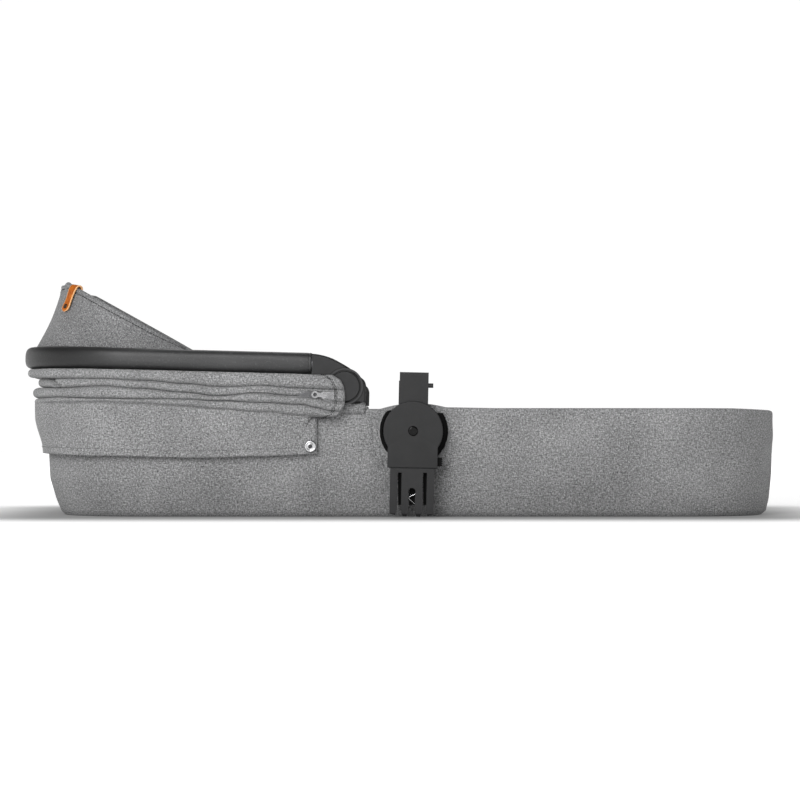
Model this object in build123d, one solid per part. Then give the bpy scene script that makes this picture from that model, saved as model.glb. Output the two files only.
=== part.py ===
"""Folding pram carrycot: padded tub on a rim frame, U-shaped folding canopy with a sun visor,
and a swinging plug-in adapter on each side. Millimetres, +Z up, +X towards the foot end.
The origin is the middle of the floor face, under the centre of the whole object."""
import math
import os

from build123d import *

os.makedirs("parts", exist_ok=True)

# ---- driving dimensions ---------------------------------------------------------------------
FOOT_X = 437.5          # outermost point of the foot end
HEAD_X = -412.0         # outermost point of the tub's head end
CANOPY_X = -437.5       # outermost point of the folded handle at the head end
RIM_Z = 123.0           # top of the fabric rim
HALF_W = 200.0          # half the tub's width at the rim
CORNER_R = 120.0        # plan radius of the tub's corners
# height, head end, foot end, half width and corner radius of the tub, from the floor to the rim
TUB_SECTIONS = [
    (0.0, -391.5, 423.0, 181.0, 101.0),
    (5.0, -396.5, 429.5, 186.0, 106.0),
    (18.0, -402.0, 433.0, 190.5, 111.0),
    (42.0, -409.5, 434.5, 196.0, 116.5),
    (90.0, HEAD_X, FOOT_X, 199.5, CORNER_R),
    (RIM_Z, HEAD_X, FOOT_X - 0.5, HALF_W, CORNER_R),
]
COVER_T = 2.0           # outer fabric
GAP = 0.3               # clearance between neighbouring pieces
SHELL_T = 3.0           # moulded tub wall
LINER_T = 2.0           # quilted lining
LIP_W = 20.0            # width of the fabric lip over the rim
RIM_TUBE_R = 6.0
RIM_TUBE_IN = 10.0      # rim tube's centre line, inwards from the fabric
RIM_TUBE_Z = 114.5
SHELL_TOP = RIM_TUBE_Z - RIM_TUBE_R - 0.5
MATTRESS_T = 28.0

HUB_X, HUB_Z = 14.8, 97.1   # adapter pivot
HUB_OPEN_R = 40.0           # round opening in the fabric
HUB_CLAMP_R = 31.0           # smaller opening in the shell, clamped between flange and back plate
HUB_OPEN_TOP = 119.0        # the rim's fabric closes the opening above this height
PLATE_R = 33.5              # round part of the adapter's front plate
PLATE_HALF_W = 28.2
PLATE_DROP = 41.5           # pivot to the plate's lower edge
PLATE_WALL = 1.6
PLATE_FRONT = 224.0         # distance from the centre plane, as the next four
PLATE_BACK = 207.6
CORE_FRONT = 222.1
TONGUE_FRONT = 220.0
TONGUE_BACK = 213.6
LEG_HALF_W = 24.8
LEG_DROP = 96.0             # pivot to the plug's tips
TONGUE_HALF_W = 16.2
TONGUE_RISE = 66.0
SCREW_R = 3.0
ADAPTER_LEAN = 1.2          # degrees that the adapter hangs out of plumb

PIVOT_X, PIVOT_Z = -62.1, 147.4   # canopy pivot
ARM_Y = 196.0                     # centre line of the handle's arms
SLEEVE_R = 12.0
TUBE_R = 9.6
TUBE_BORE_R = 8.1
BEND_R = 125.0                    # handle's corners in plan
ARM_START_X, ARM_START_Z = -99.4, 173.6
HANDLE_TILT = 1.5                 # degrees, arms rise towards the head end
ELBOW_FRONT = 210.5
ELBOW_BACK = 204.3
BRACKET_FRONT = 203.5
BRACKET_BACK = 193.5
BUTTON_R = 16.8
BUTTON_TRAVEL = 3.0
PIN_R = 5.0
RUN_CLEAR = 0.05                  # running clearance of a pin in its bore

FOLD_IN, FOLD_OUT = 178.0, 210.0  # inner and outer faces of the folded fabric's arms
FOLD_END_X = -84.0
FOLD_T = 8.0
LOWER_FOLD_T = 13.0
BOW_R = 2.0
MID_BOW_Y, REAR_BOW_Y = 192.0, 189.0
MID_DROP, REAR_DROP = 0.4, -8.6   # height of each bow's arm start over the canopy pivot
BOW_TURN_X = -92.0

VISOR_X, VISOR_Z = -217.0, 177.0  # visor pivot
VISOR_ANGLE = 28.7                # degrees over the level
VISOR_REACH = 195.0
VISOR_HALF_W = 176.0
VISOR_BEND_R = 105.0
TAB_LENGTH, TAB_WIDTH, TAB_T = 34.0, 12.5, 1.8
TAB_RIVET_DROP = 10.5             # tab's middle to its rivet

ZIP_Z, ZIP_SLOPE = 137.0, 0.05    # chain height at its closed end, and its rise per mm
ZIP_START_X, ZIP_LENGTH = -73.0, 118.0

sides = {"right": -1, "left": 1}  # seen by a child lying with its head at -X
written = []


def save(shape, name):
    """Writes one sub-part as STEP."""
    export_step(shape, f"parts/{name}.step")
    written.append(name)


def hang(shape):
    """Turns an adapter piece about the hub by the angle it hangs at."""
    return shape.rotate(Axis((HUB_X, 0, HUB_Z), (0, 1, 0)), ADAPTER_LEAN)


def save_pair(shape, name):
    """Writes a piece built on the -Y side, and its mirror image."""
    save(shape, f"{name}_right")
    save(mirror(shape, about=Plane.XZ), f"{name}_left")


def y_cylinder(x, z, radius, y_from, y_to):
    """A cylinder along Y between two heights of Y."""
    low, high = sorted((y_from, y_to))
    plane = Plane(origin=(x, high, z), x_dir=(1, 0, 0), z_dir=(0, -1, 0))
    return extrude(plane * Circle(radius), amount=high - low)


def block(x0, x1, y0, y1, z0, z1):
    """A box between two corners."""
    return Pos((x0 + x1) / 2, (y0 + y1) / 2, (z0 + z1) / 2) * Box(x1 - x0, y1 - y0, z1 - z0)


def side_plate(outline, y_from, y_to):
    """A face drawn in X and Z, made into a plate between two values of Y."""
    low, high = sorted((y_from, y_to))
    plane = Plane(origin=(0, high, 0), x_dir=(1, 0, 0), z_dir=(0, -1, 0))
    return extrude(plane * outline, amount=high - low)


# ---- tub ------------------------------------------------------------------------------------
def tub_section(z, inset):
    """The tub's rounded outline at a height, drawn in by a wall's thickness."""
    z = min(max(z, 0.0), RIM_Z)
    for low, high in zip(TUB_SECTIONS, TUB_SECTIONS[1:]):
        if z <= high[0]:
            share = (z - low[0]) / (high[0] - low[0])
            break
    head, foot, half_w, corner = (a + (b - a) * share for a, b in zip(low[1:], high[1:]))
    outline = RectangleRounded(foot - head - 2 * inset, 2 * (half_w - inset), corner - inset)
    return Pos((head + foot) / 2, 0, z) * outline


def tub_body(inset, bottom, top):
    """The closed tub shape between two heights, drawn in by inset."""
    heights = [bottom] + [s[0] for s in TUB_SECTIONS if bottom < s[0] < top] + [top]
    parts = [
        loft([tub_section(a, inset), tub_section(b, inset)], ruled=True)
        for a, b in zip(heights, heights[1:])
    ]
    body = parts[0]
    for part in parts[1:]:
        body = body + part
    return body


def top_hole(inset, low, high):
    """The tub's plan outline as a straight prism, for cutting the open top."""
    return Pos(0, 0, low) * extrude(Pos(0, 0, -RIM_Z) * tub_section(RIM_Z, inset), amount=high - low)


def hub_hole(radius, sign):
    """The round hub opening in one side wall, closed above the rim's fabric."""
    hole = y_cylinder(HUB_X, HUB_Z, radius, sign * 170, sign * 210)
    return hole - block(-100, 200, -300, 300, HUB_OPEN_TOP, 200)


def rim_arch(sign):
    """The low arch that the rim's fabric makes over the hub."""
    half, rise = 37.0, 5.4
    radius = (half * half + rise * rise) / (2 * rise)
    arch = y_cylinder(HUB_X, RIM_Z + rise - radius, radius, sign * 199.6, sign * 182)
    return arch & block(HUB_X - half, HUB_X + half, -300, 300, RIM_Z - 1, 200)


def outer_cover():
    body = tub_body(0, 0, RIM_Z) - tub_body(COVER_T, COVER_T, RIM_Z - COVER_T)
    body = body - top_hole(LIP_W, RIM_Z - 10, RIM_Z + 10)
    for sign in sides.values():
        body = body - hub_hole(HUB_OPEN_R, sign) + rim_arch(sign)
        body = body - block(PIVOT_X - 20.5, PIVOT_X + 20.5, *sorted((sign * 198, sign * 170)), 118, 126)
    return body


def tub_shell():
    inset = COVER_T + GAP
    body = tub_body(inset, inset, SHELL_TOP)
    body = body - tub_body(inset + SHELL_T, inset + SHELL_T, SHELL_TOP + 5)
    for sign in sides.values():
        body = body - hub_hole(HUB_CLAMP_R, sign)
    return body


def base_board():
    inset = COVER_T + SHELL_T + 3 * GAP
    bottom = COVER_T + SHELL_T + 2 * GAP
    return extrude(tub_section(bottom, inset + 4), amount=4.0)


def liner():
    bottom = COVER_T + SHELL_T + 4.0 + 3 * GAP
    body = tub_body(LIP_W, bottom, RIM_Z - COVER_T - GAP)
    return body - tub_body(LIP_W + LINER_T, bottom + LINER_T, RIM_Z)


def mattress():
    bottom = COVER_T + SHELL_T + 4.0 + 3 * GAP + LINER_T + 1.0
    pad = extrude(tub_section(bottom, LIP_W + LINER_T + 4), amount=MATTRESS_T)
    return fillet(pad.edges().group_by(Axis.Z)[-1], 6)


def rim_frame():
    outline = tub_section(RIM_Z, RIM_TUBE_IN)
    path = Pos(0, 0, RIM_TUBE_Z - RIM_Z) * outline.wire()
    start = Plane(origin=path @ 0, z_dir=path % 0)
    ring = sweep(start * Circle(RIM_TUBE_R), path=path)
    bore = sweep(start * Circle(RIM_TUBE_R - 1.2), path=path)
    return ring - bore


# ---- adapters -------------------------------------------------------------------------------
def hub_housing():
    flange = y_cylinder(HUB_X, HUB_Z, HUB_OPEN_R - 0.4, -199.8, -197.6)
    flange = flange - block(-100, 200, -300, 0, HUB_OPEN_TOP - 0.4, 200)
    body = y_cylinder(HUB_X, HUB_Z, HUB_CLAMP_R - 0.5, -198, -190.4)
    body = body - block(-100, 200, -300, 0, SHELL_TOP - 0.2, 200)
    boss = y_cylinder(HUB_X, HUB_Z, 15, -207, -199)
    rim = y_cylinder(HUB_X, HUB_Z, HUB_OPEN_R - 2.5, -203.5, -199)
    rim = rim - y_cylinder(HUB_X, HUB_Z, HUB_OPEN_R - 5.5, -204, -198)
    rim = rim - block(-100, 200, -300, 0, HUB_OPEN_TOP - 1.5, 200)
    bore = y_cylinder(HUB_X, HUB_Z, SCREW_R + RUN_CLEAR, -220, -180)
    return flange + body + boss + rim - bore - mount_screw_holes(1.4)


def hub_backplate():
    plate = Pos(HUB_X, -189.0, HUB_Z - 17) * Box(78, 2.4, 54)
    plate = fillet(plate.edges().filter_by(Axis.Y), 8)
    return plate - y_cylinder(HUB_X, HUB_Z, SCREW_R + RUN_CLEAR, -195, -180) - mount_screw_holes(1.6)


def mount_screw_places():
    return [(HUB_X + dx, HUB_Z + dz) for dx in (-20, 20) for dz in (-4, -18)]


def mount_screw_holes(radius):
    holes = [y_cylinder(x, z, radius, -200, -180) for x, z in mount_screw_places()]
    return holes[0] + holes[1] + holes[2] + holes[3]


def mount_screws():
    """Four small screws that clamp the housing to its back plate."""
    group = []
    for x, z in mount_screw_places():
        shank = y_cylinder(x, z, 1.5, -195.5, -187.0)
        head = y_cylinder(x, z, 3.0, -187.7, -186.0)
        group.append(shank + head)
    return group


def adapter_outline(radius, half_w, drop):
    """Keyhole outline of the front plate, in X and Z about the pivot."""
    round_part = Pos(HUB_X, HUB_Z) * Circle(radius)
    square_part = Pos(HUB_X, HUB_Z - drop / 2) * Rectangle(2 * half_w, drop)
    return round_part + square_part


def hub_plate():
    outer = side_plate(adapter_outline(PLATE_R, PLATE_HALF_W, PLATE_DROP), -PLATE_FRONT, -PLATE_BACK)
    inner_w = PLATE_HALF_W - PLATE_WALL
    inner = side_plate(adapter_outline(PLATE_R - PLATE_WALL, inner_w, PLATE_DROP + 5),
                       -PLATE_FRONT + PLATE_WALL, -PLATE_BACK + 1)
    boss = y_cylinder(HUB_X, HUB_Z, 8.0, -PLATE_FRONT + 1, -PLATE_BACK)
    body = outer - inner + boss
    slot = block(HUB_X - TONGUE_HALF_W - 0.4, HUB_X + TONGUE_HALF_W + 0.4,
                 -TONGUE_FRONT - 0.4, -PLATE_BACK + 1, HUB_Z + 20, HUB_Z + 40)
    window = block(HUB_X + 20, HUB_X + 40, -218.0, -210.4, HUB_Z - 39.4, HUB_Z - 28.4)
    head_seat = y_cylinder(HUB_X, HUB_Z, 5.7, -230, -PLATE_FRONT + 1.2)
    bore = y_cylinder(HUB_X, HUB_Z, SCREW_R + RUN_CLEAR, -230, -200)
    front = body.faces().sort_by(Axis.Y)[0].outer_wire().edges()
    return fillet(front, 0.9) - slot - window - head_seat - bore


def adapter_core():
    disc = y_cylinder(HUB_X, HUB_Z, PLATE_R - PLATE_WALL - 0.4, -CORE_FRONT, -PLATE_BACK)
    leg = block(HUB_X - LEG_HALF_W, HUB_X + LEG_HALF_W, -CORE_FRONT, -PLATE_BACK,
                HUB_Z - LEG_DROP, HUB_Z)
    tips = leg.edges().filter_by(Axis.X).group_by(Axis.Z)[0]
    leg = chamfer(tips, 3.2) & y_cylinder(HUB_X, HUB_Z, LEG_DROP + 0.5, -230, -200)
    leg = leg - block(HUB_X - 60, HUB_X + 60, -300, 0, HUB_Z - 6, HUB_Z + 10)
    tongue = block(HUB_X - TONGUE_HALF_W, HUB_X + TONGUE_HALF_W, -TONGUE_FRONT, -TONGUE_BACK,
                   HUB_Z, HUB_Z + TONGUE_RISE)
    body = disc + leg + tongue
    body = body - y_cylinder(HUB_X, HUB_Z, 8.0 + 0.2, -230, -200)
    for offset in (-14.2, 14.2):
        body = body - block(HUB_X + offset - 2.3, HUB_X + offset + 2.3, -300, 0, 0, HUB_Z - 46.5)
    body = body - block(HUB_X - 3.7, HUB_X + 3.7, -300, 0, 0, HUB_Z - 68)
    for offset, narrow in ((-14.2, 2.2), (0, 3.6), (14.2, 2.2)):
        flare = Polyline((HUB_X + offset - narrow, HUB_Z - 88), (HUB_X + offset + narrow, HUB_Z - 88),
                         (HUB_X + offset + narrow + 2.6, HUB_Z - 98),
                         (HUB_X + offset - narrow - 2.6, HUB_Z - 98), close=True)
        body = body - side_plate(make_face(flare), -300, 0)
    body = body - y_cylinder(HUB_X, HUB_Z - 68, 4.2, -230, -200)
    body = body - block(HUB_X + 13, HUB_X + 30, -217.9, -210.5, HUB_Z - 39.2, HUB_Z - 28.6)
    pin_plane = Plane(origin=(HUB_X + 3, -216.8, HUB_Z + 51.5), x_dir=(0, 1, 0), z_dir=(1, 0, 0))
    return body - extrude(pin_plane * Circle(2.7), amount=20)


def lock_button():
    body = block(HUB_X + 17.5, HUB_X + 33.6, -217.5, -210.9, HUB_Z - 38.9, HUB_Z - 28.9)
    for rib in range(4):
        z = HUB_Z - 37.6 + rib * 2.4
        body = body - block(HUB_X + 33.0, HUB_X + 34, -218, -210, z, z + 1.1)
    return body


def tongue_pin():
    plane = Plane(origin=(HUB_X + 7.5, -216.8, HUB_Z + 51.5), x_dir=(0, 1, 0), z_dir=(1, 0, 0))
    shank = extrude(plane * Circle(2.55), amount=14.1)
    return shank


def latch_spring():
    depth = -216.0
    low, mid, high = HUB_Z - 82.5, HUB_Z - 75.0, HUB_Z - 70.5
    path = FilletPolyline((HUB_X + 4.6, depth, high), (HUB_X - 4.4, depth, mid),
                          (HUB_X + 4.6, depth, low), radius=1.6)
    return sweep(Plane(origin=path @ 0, z_dir=path % 0) * Circle(0.6), path=path)


def hub_screw():
    shank = y_cylinder(HUB_X, HUB_Z, SCREW_R, -223.2, -182.5)
    head = y_cylinder(HUB_X, HUB_Z, 5.4, -225.0, -222.95)
    head = fillet(head.edges().sort_by(Axis.Y)[0], 1.6)
    return shank + head


def hub_nut():
    plane = Plane(origin=(HUB_X, -184.0, HUB_Z), x_dir=(1, 0, 0), z_dir=(0, -1, 0))
    nut = extrude(plane * RegularPolygon(5.6, 6), amount=3.6)
    return nut - y_cylinder(HUB_X, HUB_Z, SCREW_R + RUN_CLEAR, -190, -170)


# ---- canopy ---------------------------------------------------------------------------------
handle_plane = Plane(
    origin=(ARM_START_X, 0, ARM_START_Z),
    x_dir=(-math.cos(math.radians(HANDLE_TILT)), 0, math.sin(math.radians(HANDLE_TILT))),
    z_dir=(-math.sin(math.radians(HANDLE_TILT)), 0, -math.cos(math.radians(HANDLE_TILT))),
)
HANDLE_REACH = (ARM_START_X - CANOPY_X - SLEEVE_R) / math.cos(math.radians(HANDLE_TILT))


def u_path(start, reach, half_w, radius):
    """A U in plan: two arms along X joined by a bend with two round corners."""
    return FilletPolyline((start, -half_w), (reach, -half_w), (reach, half_w), (start, half_w),
                          radius=radius)


def u_rod(plane, start, reach, half_w, bend_r, rod_r):
    path = plane * u_path(start, reach, half_w, bend_r)
    return sweep(Plane(origin=path @ 0, z_dir=path % 0) * Circle(rod_r), path=path)


def handle_tube():
    outer = u_rod(handle_plane, -11, HANDLE_REACH, ARM_Y, BEND_R, TUBE_R)
    return outer - u_rod(handle_plane, -12, HANDLE_REACH, ARM_Y, BEND_R, TUBE_BORE_R)


def handle_sleeve():
    outer = u_rod(handle_plane, 0, HANDLE_REACH, ARM_Y, BEND_R, SLEEVE_R)
    return outer - u_rod(handle_plane, -1, HANDLE_REACH, ARM_Y, BEND_R, TUBE_R + 0.1)


def elbow_outline():
    """Side outline of the handle's end piece, in X and Z."""
    points = [(-37.3, 37.0), (-26.8, 35.6), (-15.4, 32.2), (-4.0, 26.4), (7.4, 19.3),
              (18.8, 9.7), (24.2, 0.0)]
    top = Spline(*[(PIVOT_X + x, PIVOT_Z + z) for x, z in points],
                 tangents=[(1, -0.03), (0.12, -1)])
    right = Line((PIVOT_X + 24.2, PIVOT_Z), (PIVOT_X + 23.7, PIVOT_Z - 16.8))
    bottom = Line((PIVOT_X + 23.7, PIVOT_Z - 16.8), (PIVOT_X - 12.5, PIVOT_Z - 16.8))
    left = ThreePointArc((PIVOT_X - 12.5, PIVOT_Z - 16.8), (PIVOT_X - 21.0, PIVOT_Z),
                         (PIVOT_X - 16.8, PIVOT_Z + 12.6))
    under = Line((PIVOT_X - 16.8, PIVOT_Z + 12.6), (PIVOT_X - 37.3, PIVOT_Z + 14.0))
    end = Line((PIVOT_X - 37.3, PIVOT_Z + 14.0), (PIVOT_X - 37.3, PIVOT_Z + 37.0))
    return make_face([top, right, bottom, left, under, end])


def handle_elbow():
    plate = side_plate(elbow_outline(), -ELBOW_FRONT, -ELBOW_BACK)
    inner = side_plate(elbow_outline(), -ELBOW_BACK, -185)
    inner = inner & block(-300, PIVOT_X - 24, -300, 0, 0, 300)
    stub_path = handle_plane * Line((-0.2, -ARM_Y), (-13.5, -ARM_Y))
    stub = sweep(Plane(origin=stub_path @ 0, z_dir=stub_path % 0) * Circle(SLEEVE_R - 0.4), path=stub_path)
    rim = plate.faces().sort_by(Axis.Y)[0].outer_wire().edges()
    soft = [e for e in rim if e.center().X > PIVOT_X + 20 or e.length > 60]
    body = fillet(soft, 2.5) + inner
    body = body + (stub & side_plate(elbow_outline(), -ELBOW_BACK, -180))
    body = body & block(ARM_START_X + 0.4, 300, -300, 0, 0, 300)
    bore_path = handle_plane * Line((1, -ARM_Y), (-11.2, -ARM_Y))
    socket = sweep(Plane(origin=bore_path @ 0, z_dir=bore_path % 0) * Circle(TUBE_R + 0.1), path=bore_path)
    recess = y_cylinder(PIVOT_X, PIVOT_Z, BUTTON_R + 0.3, -230, -ELBOW_FRONT + 3.6)
    ring = y_cylinder(PIVOT_X, PIVOT_Z, 20.8, -ELBOW_FRONT - 0.8, -ELBOW_FRONT + 1)
    ring = ring - y_cylinder(PIVOT_X, PIVOT_Z, 18.6, -230, -200)
    bore = y_cylinder(PIVOT_X, PIVOT_Z, PIN_R + RUN_CLEAR, -230, -200)
    return body + ring - socket - recess - bore


def pivot_button():
    cap = y_cylinder(PIVOT_X, PIVOT_Z, BUTTON_R, -ELBOW_FRONT - 1.3, -ELBOW_FRONT + 0.4)
    return fillet(cap.edges().sort_by(Axis.Y)[0], 0.8)


def pivot_bracket():
    round_top = Pos(PIVOT_X, PIVOT_Z) * Circle(17.5)
    stem = Pos(PIVOT_X, (PIVOT_Z + RIM_Z + 1) / 2) * Rectangle(35, PIVOT_Z - RIM_Z - 1)
    upright = side_plate(round_top + stem, -BRACKET_FRONT, -BRACKET_BACK)
    saddle = block(PIVOT_X - 17.5, PIVOT_X + 17.5, -197.5, -183.5, 112, RIM_Z + 4)
    groove_axis = Plane(origin=(PIVOT_X - 30, -(HALF_W - RIM_TUBE_IN), RIM_TUBE_Z),
                        x_dir=(0, 1, 0), z_dir=(1, 0, 0))
    saddle = saddle - extrude(groove_axis * Circle(RIM_TUBE_R + 0.1), amount=60)
    saddle = saddle - block(-300, 300, -197.6, -182, 100, RIM_TUBE_Z)
    return upright + saddle - y_cylinder(PIVOT_X, PIVOT_Z, PIN_R + RUN_CLEAR, -230, -180)


def pivot_pin():
    return y_cylinder(PIVOT_X, PIVOT_Z, PIN_R, -ELBOW_FRONT + 3.8, -186.6)


def bow_link(drop, y_centre, reach_x):
    """Flat end of a bow, from its eye on the canopy pivot to the start of the round arm."""
    eye = Pos(PIVOT_X, PIVOT_Z) * Circle(8.5)
    tip = Pos(reach_x, PIVOT_Z + drop) * Circle(3.4)
    hull_shape = make_hull((eye + tip).edges())
    plate = side_plate(hull_shape, -y_centre - 1.0, -y_centre + 1.0)
    return plate - y_cylinder(PIVOT_X, PIVOT_Z, PIN_R + RUN_CLEAR, -230, -150)


def bow_plane(drop, slope):
    """The plane of a bow's U, which starts at BOW_TURN_X and rises towards the head end."""
    angle = math.atan(slope)
    return Plane(origin=(BOW_TURN_X, 0, PIVOT_Z + drop), x_dir=(-math.cos(angle), 0, math.sin(angle)),
                 z_dir=(-math.sin(angle), 0, -math.cos(angle)))


def canopy_bow(drop, slope, y_centre, front_x):
    plane = bow_plane(drop, slope)
    rod = u_rod(plane, 0, BOW_TURN_X - front_x, y_centre, BEND_R - 6, BOW_R)
    link = bow_link(drop, y_centre, BOW_TURN_X + 2)
    return rod + link + mirror(link, about=Plane.XZ)


def canopy_fold(plane, start, reach, thickness, offset, channel_y, channel_r):
    """A U of folded fabric that hangs by offset under a bow's plane, with a channel for the bow."""
    centre = (FOLD_IN + FOLD_OUT) / 2
    path = plane * u_path(start, reach, centre, BEND_R - 2)
    down = plane.z_dir
    start_plane = Plane(origin=path @ 0, x_dir=(0, 1, 0), z_dir=path % 0)
    lift = offset if start_plane.y_dir.dot(down) > 0 else -offset
    section = start_plane * Pos(0, lift) * RectangleRounded(FOLD_OUT - FOLD_IN, thickness, 3.4)
    fold = sweep(section, path=path)
    if channel_r:
        fold = fold - u_rod(plane, -30, reach, channel_y, BEND_R - 6, channel_r)
    return fold


MID_SLOPE, REAR_SLOPE = 0.010, 0.012
BOW_FRONT_X = -420.0


def canopy_skirt():
    """Fabric apron that hangs from the canopy's base, round the head end."""
    inner, outer = HALF_W + 3.6, HALF_W + 6.0
    half_length = 250.0

    def plan(half_w, front):
        path = Pos((front + half_length * 2) / 2, 0)
        return Pos((2 * front + 2 * half_length) / 2, 0) * RectangleRounded(2 * half_length, 2 * half_w, 122)

    ring = plan(outer, HEAD_X - 15.4) - plan(inner, HEAD_X - 13.0)
    body = extrude(Pos(0, 0, 70) * ring, amount=57)
    return body & block(-500, -90.5, -300, 300, 0, 200)


def skirt_snaps():
    group = []
    for sign in sides.values():
        cap = y_cylinder(-100.3, 81.2, 6.4, sign * (HALF_W + 7.6), sign * (HALF_W + 6.05))
        cap = cap - y_cylinder(-100.3, 81.2, 1.6, sign * 215, sign * (HALF_W + 6.8))
        group.append(cap)
    return group


# ---- visor ----------------------------------------------------------------------------------
visor_angle = math.radians(VISOR_ANGLE)
visor_plane = Plane(
    origin=(VISOR_X, 0, VISOR_Z),
    x_dir=(-math.cos(visor_angle), 0, math.sin(visor_angle)),
    z_dir=(-math.sin(visor_angle), 0, -math.cos(visor_angle)),
)


def visor_bow():
    rod = u_rod(visor_plane, 0, VISOR_REACH, VISOR_HALF_W, VISOR_BEND_R, BOW_R)
    ends = []
    for sign in sides.values():
        eye = y_cylinder(VISOR_X, VISOR_Z, 5.0, sign * (VISOR_HALF_W - 2.3), sign * (VISOR_HALF_W + 2.3))
        pin = y_cylinder(VISOR_X, VISOR_Z, 2.5, sign * VISOR_HALF_W, sign * (VISOR_HALF_W + 7.2))
        ends.append(eye + pin)
    return rod + ends[0] + ends[1]


def visor_pivots():
    """Small round bearings clamped to the inside of the handle's arms."""
    group = []
    for sign in sides.values():
        boss = y_cylinder(VISOR_X, VISOR_Z, 6.5, sign * (VISOR_HALF_W + 2.6), sign * (ARM_Y - 12.2))
        group.append(boss - y_cylinder(VISOR_X, VISOR_Z, 2.5 + RUN_CLEAR, sign * 150, sign * 200))
    return group


def visor_fabric():
    """Fabric band between the handle and the visor's bow, leaning in as it rises."""
    z_base = 188.0
    lean = 0.33
    front = -421.0
    length = 260.0

    def plan(half_w, front_x):
        return Pos(front_x + length / 2, 0, z_base) * RectangleRounded(length, 2 * half_w, 100)

    ring = plan(182.0, front) - plan(180.0, front + 2.0)
    band = extrude(ring, amount=100, dir=(lean, 0, 1))
    clear = SLEEVE_R + 0.4
    base = [handle_plane.from_local_coords((u, 0, -clear)) for u in (150, 400)]
    rim = [visor_plane.from_local_coords((u, 0, 3)) for u in (38, VISOR_REACH - 12, VISOR_REACH + 60)]
    outline = Polyline((base[0].X, base[0].Z), (base[1].X, base[1].Z), (base[1].X, 268.0),
                       (rim[1].X, 268.0), (rim[0].X, rim[0].Z), close=True)
    return band & side_plate(make_face(outline), -200, 200)


def tab_frame():
    """The pull tab's middle on the visor's corner; its z is outwards and its y is down the tab."""
    outward = Vector(-0.795, -0.607, 0.262).normalized()
    return Plane(origin=(-381.3, -144.0, 250.6), x_dir=(outward.Y, -outward.X, 0), z_dir=tuple(outward))


def visor_tab():
    plane = tab_frame()
    strap = extrude(plane * SlotOverall(TAB_LENGTH, TAB_WIDTH, rotation=90), amount=TAB_T)
    return strap - extrude(plane * Pos(0, TAB_RIVET_DROP) * Circle(2.1), amount=3)


def tab_rivet():
    plane = tab_frame()
    head = extrude(plane.offset(TAB_T) * Pos(0, TAB_RIVET_DROP) * Circle(3.0), amount=1.0)
    shank = extrude(plane * Pos(0, TAB_RIVET_DROP) * Circle(2.0), amount=TAB_T + 0.5)
    return head + shank


# ---- zip ------------------------------------------------------------------------------------
def zip_strip(z_low, z_high, y_from, y_to, start, end):
    """A strip that follows the zip's line between two distances from its closed end."""
    line = [(ZIP_START_X - start, ZIP_Z + start * ZIP_SLOPE), (ZIP_START_X - end, ZIP_Z + end * ZIP_SLOPE)]
    outline = Polyline((line[0][0], line[0][1] + z_low), (line[1][0], line[1][1] + z_low),
                       (line[1][0], line[1][1] + z_high), (line[0][0], line[0][1] + z_high), close=True)
    return side_plate(make_face(outline), y_from, y_to)


def zip_tape():
    upper = zip_strip(2.6, 9.0, -211.8, -211.2, 13, ZIP_LENGTH)
    lower = zip_strip(-9.0, -2.6, -211.8, -211.2, 13, ZIP_LENGTH)
    return [upper, lower]


def zip_chain():
    return zip_strip(-2.4, 2.4, -212.1, -211.0, 13, ZIP_LENGTH)


def zip_slider():
    plate = zip_strip(-4.8, 4.8, -213.4, -212.3, 1, 14)
    post_a = zip_strip(-1.2, 1.2, -215.4, -213.3, 2, 3.6)
    post_b = zip_strip(-1.2, 1.2, -215.4, -213.3, 9, 10.6)
    bridge = zip_strip(-1.2, 1.2, -216.0, -215.2, 2, 10.6)
    return plate + post_a + post_b + bridge


def zip_puller():
    """A forked tab whose crossbar lies under the slider's bridge."""
    front, back = -214.8, -213.7
    fork = zip_strip(-3.7, 3.7, front, back, 4.4, 15.0) - zip_strip(-2.3, 2.3, front, back, 5.4, 13.2)
    x_ring, z_ring = ZIP_START_X - 22.5, ZIP_Z + 22.5 * ZIP_SLOPE
    ring = y_cylinder(x_ring, z_ring, 4.0, front, back)
    neck = zip_strip(-2.4, 2.4, front, back, 14.5, 21)
    return fork + neck + ring - y_cylinder(x_ring, z_ring, 2.2, -220, -210)


# ---- build ----------------------------------------------------------------------------------
save(outer_cover(), "outer_cover")
save(tub_shell(), "tub_shell")
save(base_board(), "base_board")
save(liner(), "liner")
save(mattress(), "mattress")
save(rim_frame(), "rim_frame")

save_pair(hub_housing(), "hub_housing")
save_pair(hub_backplate(), "hub_backplate")
save_pair(Compound(children=mount_screws()), "housing_screws")
save_pair(hub_screw(), "hub_screw")
save_pair(hub_nut(), "hub_nut")
save_pair(hang(hub_plate()), "hub_plate")
save_pair(hang(adapter_core()), "adapter_core")
save_pair(hang(latch_spring()), "latch_spring")
save_pair(hang(lock_button()), "lock_button")
save_pair(hang(tongue_pin()), "tongue_pin")

save(handle_tube(), "handle_tube")
save(handle_sleeve(), "handle_sleeve")
save_pair(handle_elbow(), "handle_elbow")
save_pair(pivot_button(), "pivot_button")
save_pair(pivot_bracket(), "pivot_bracket")
save_pair(pivot_pin(), "pivot_pin")

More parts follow.
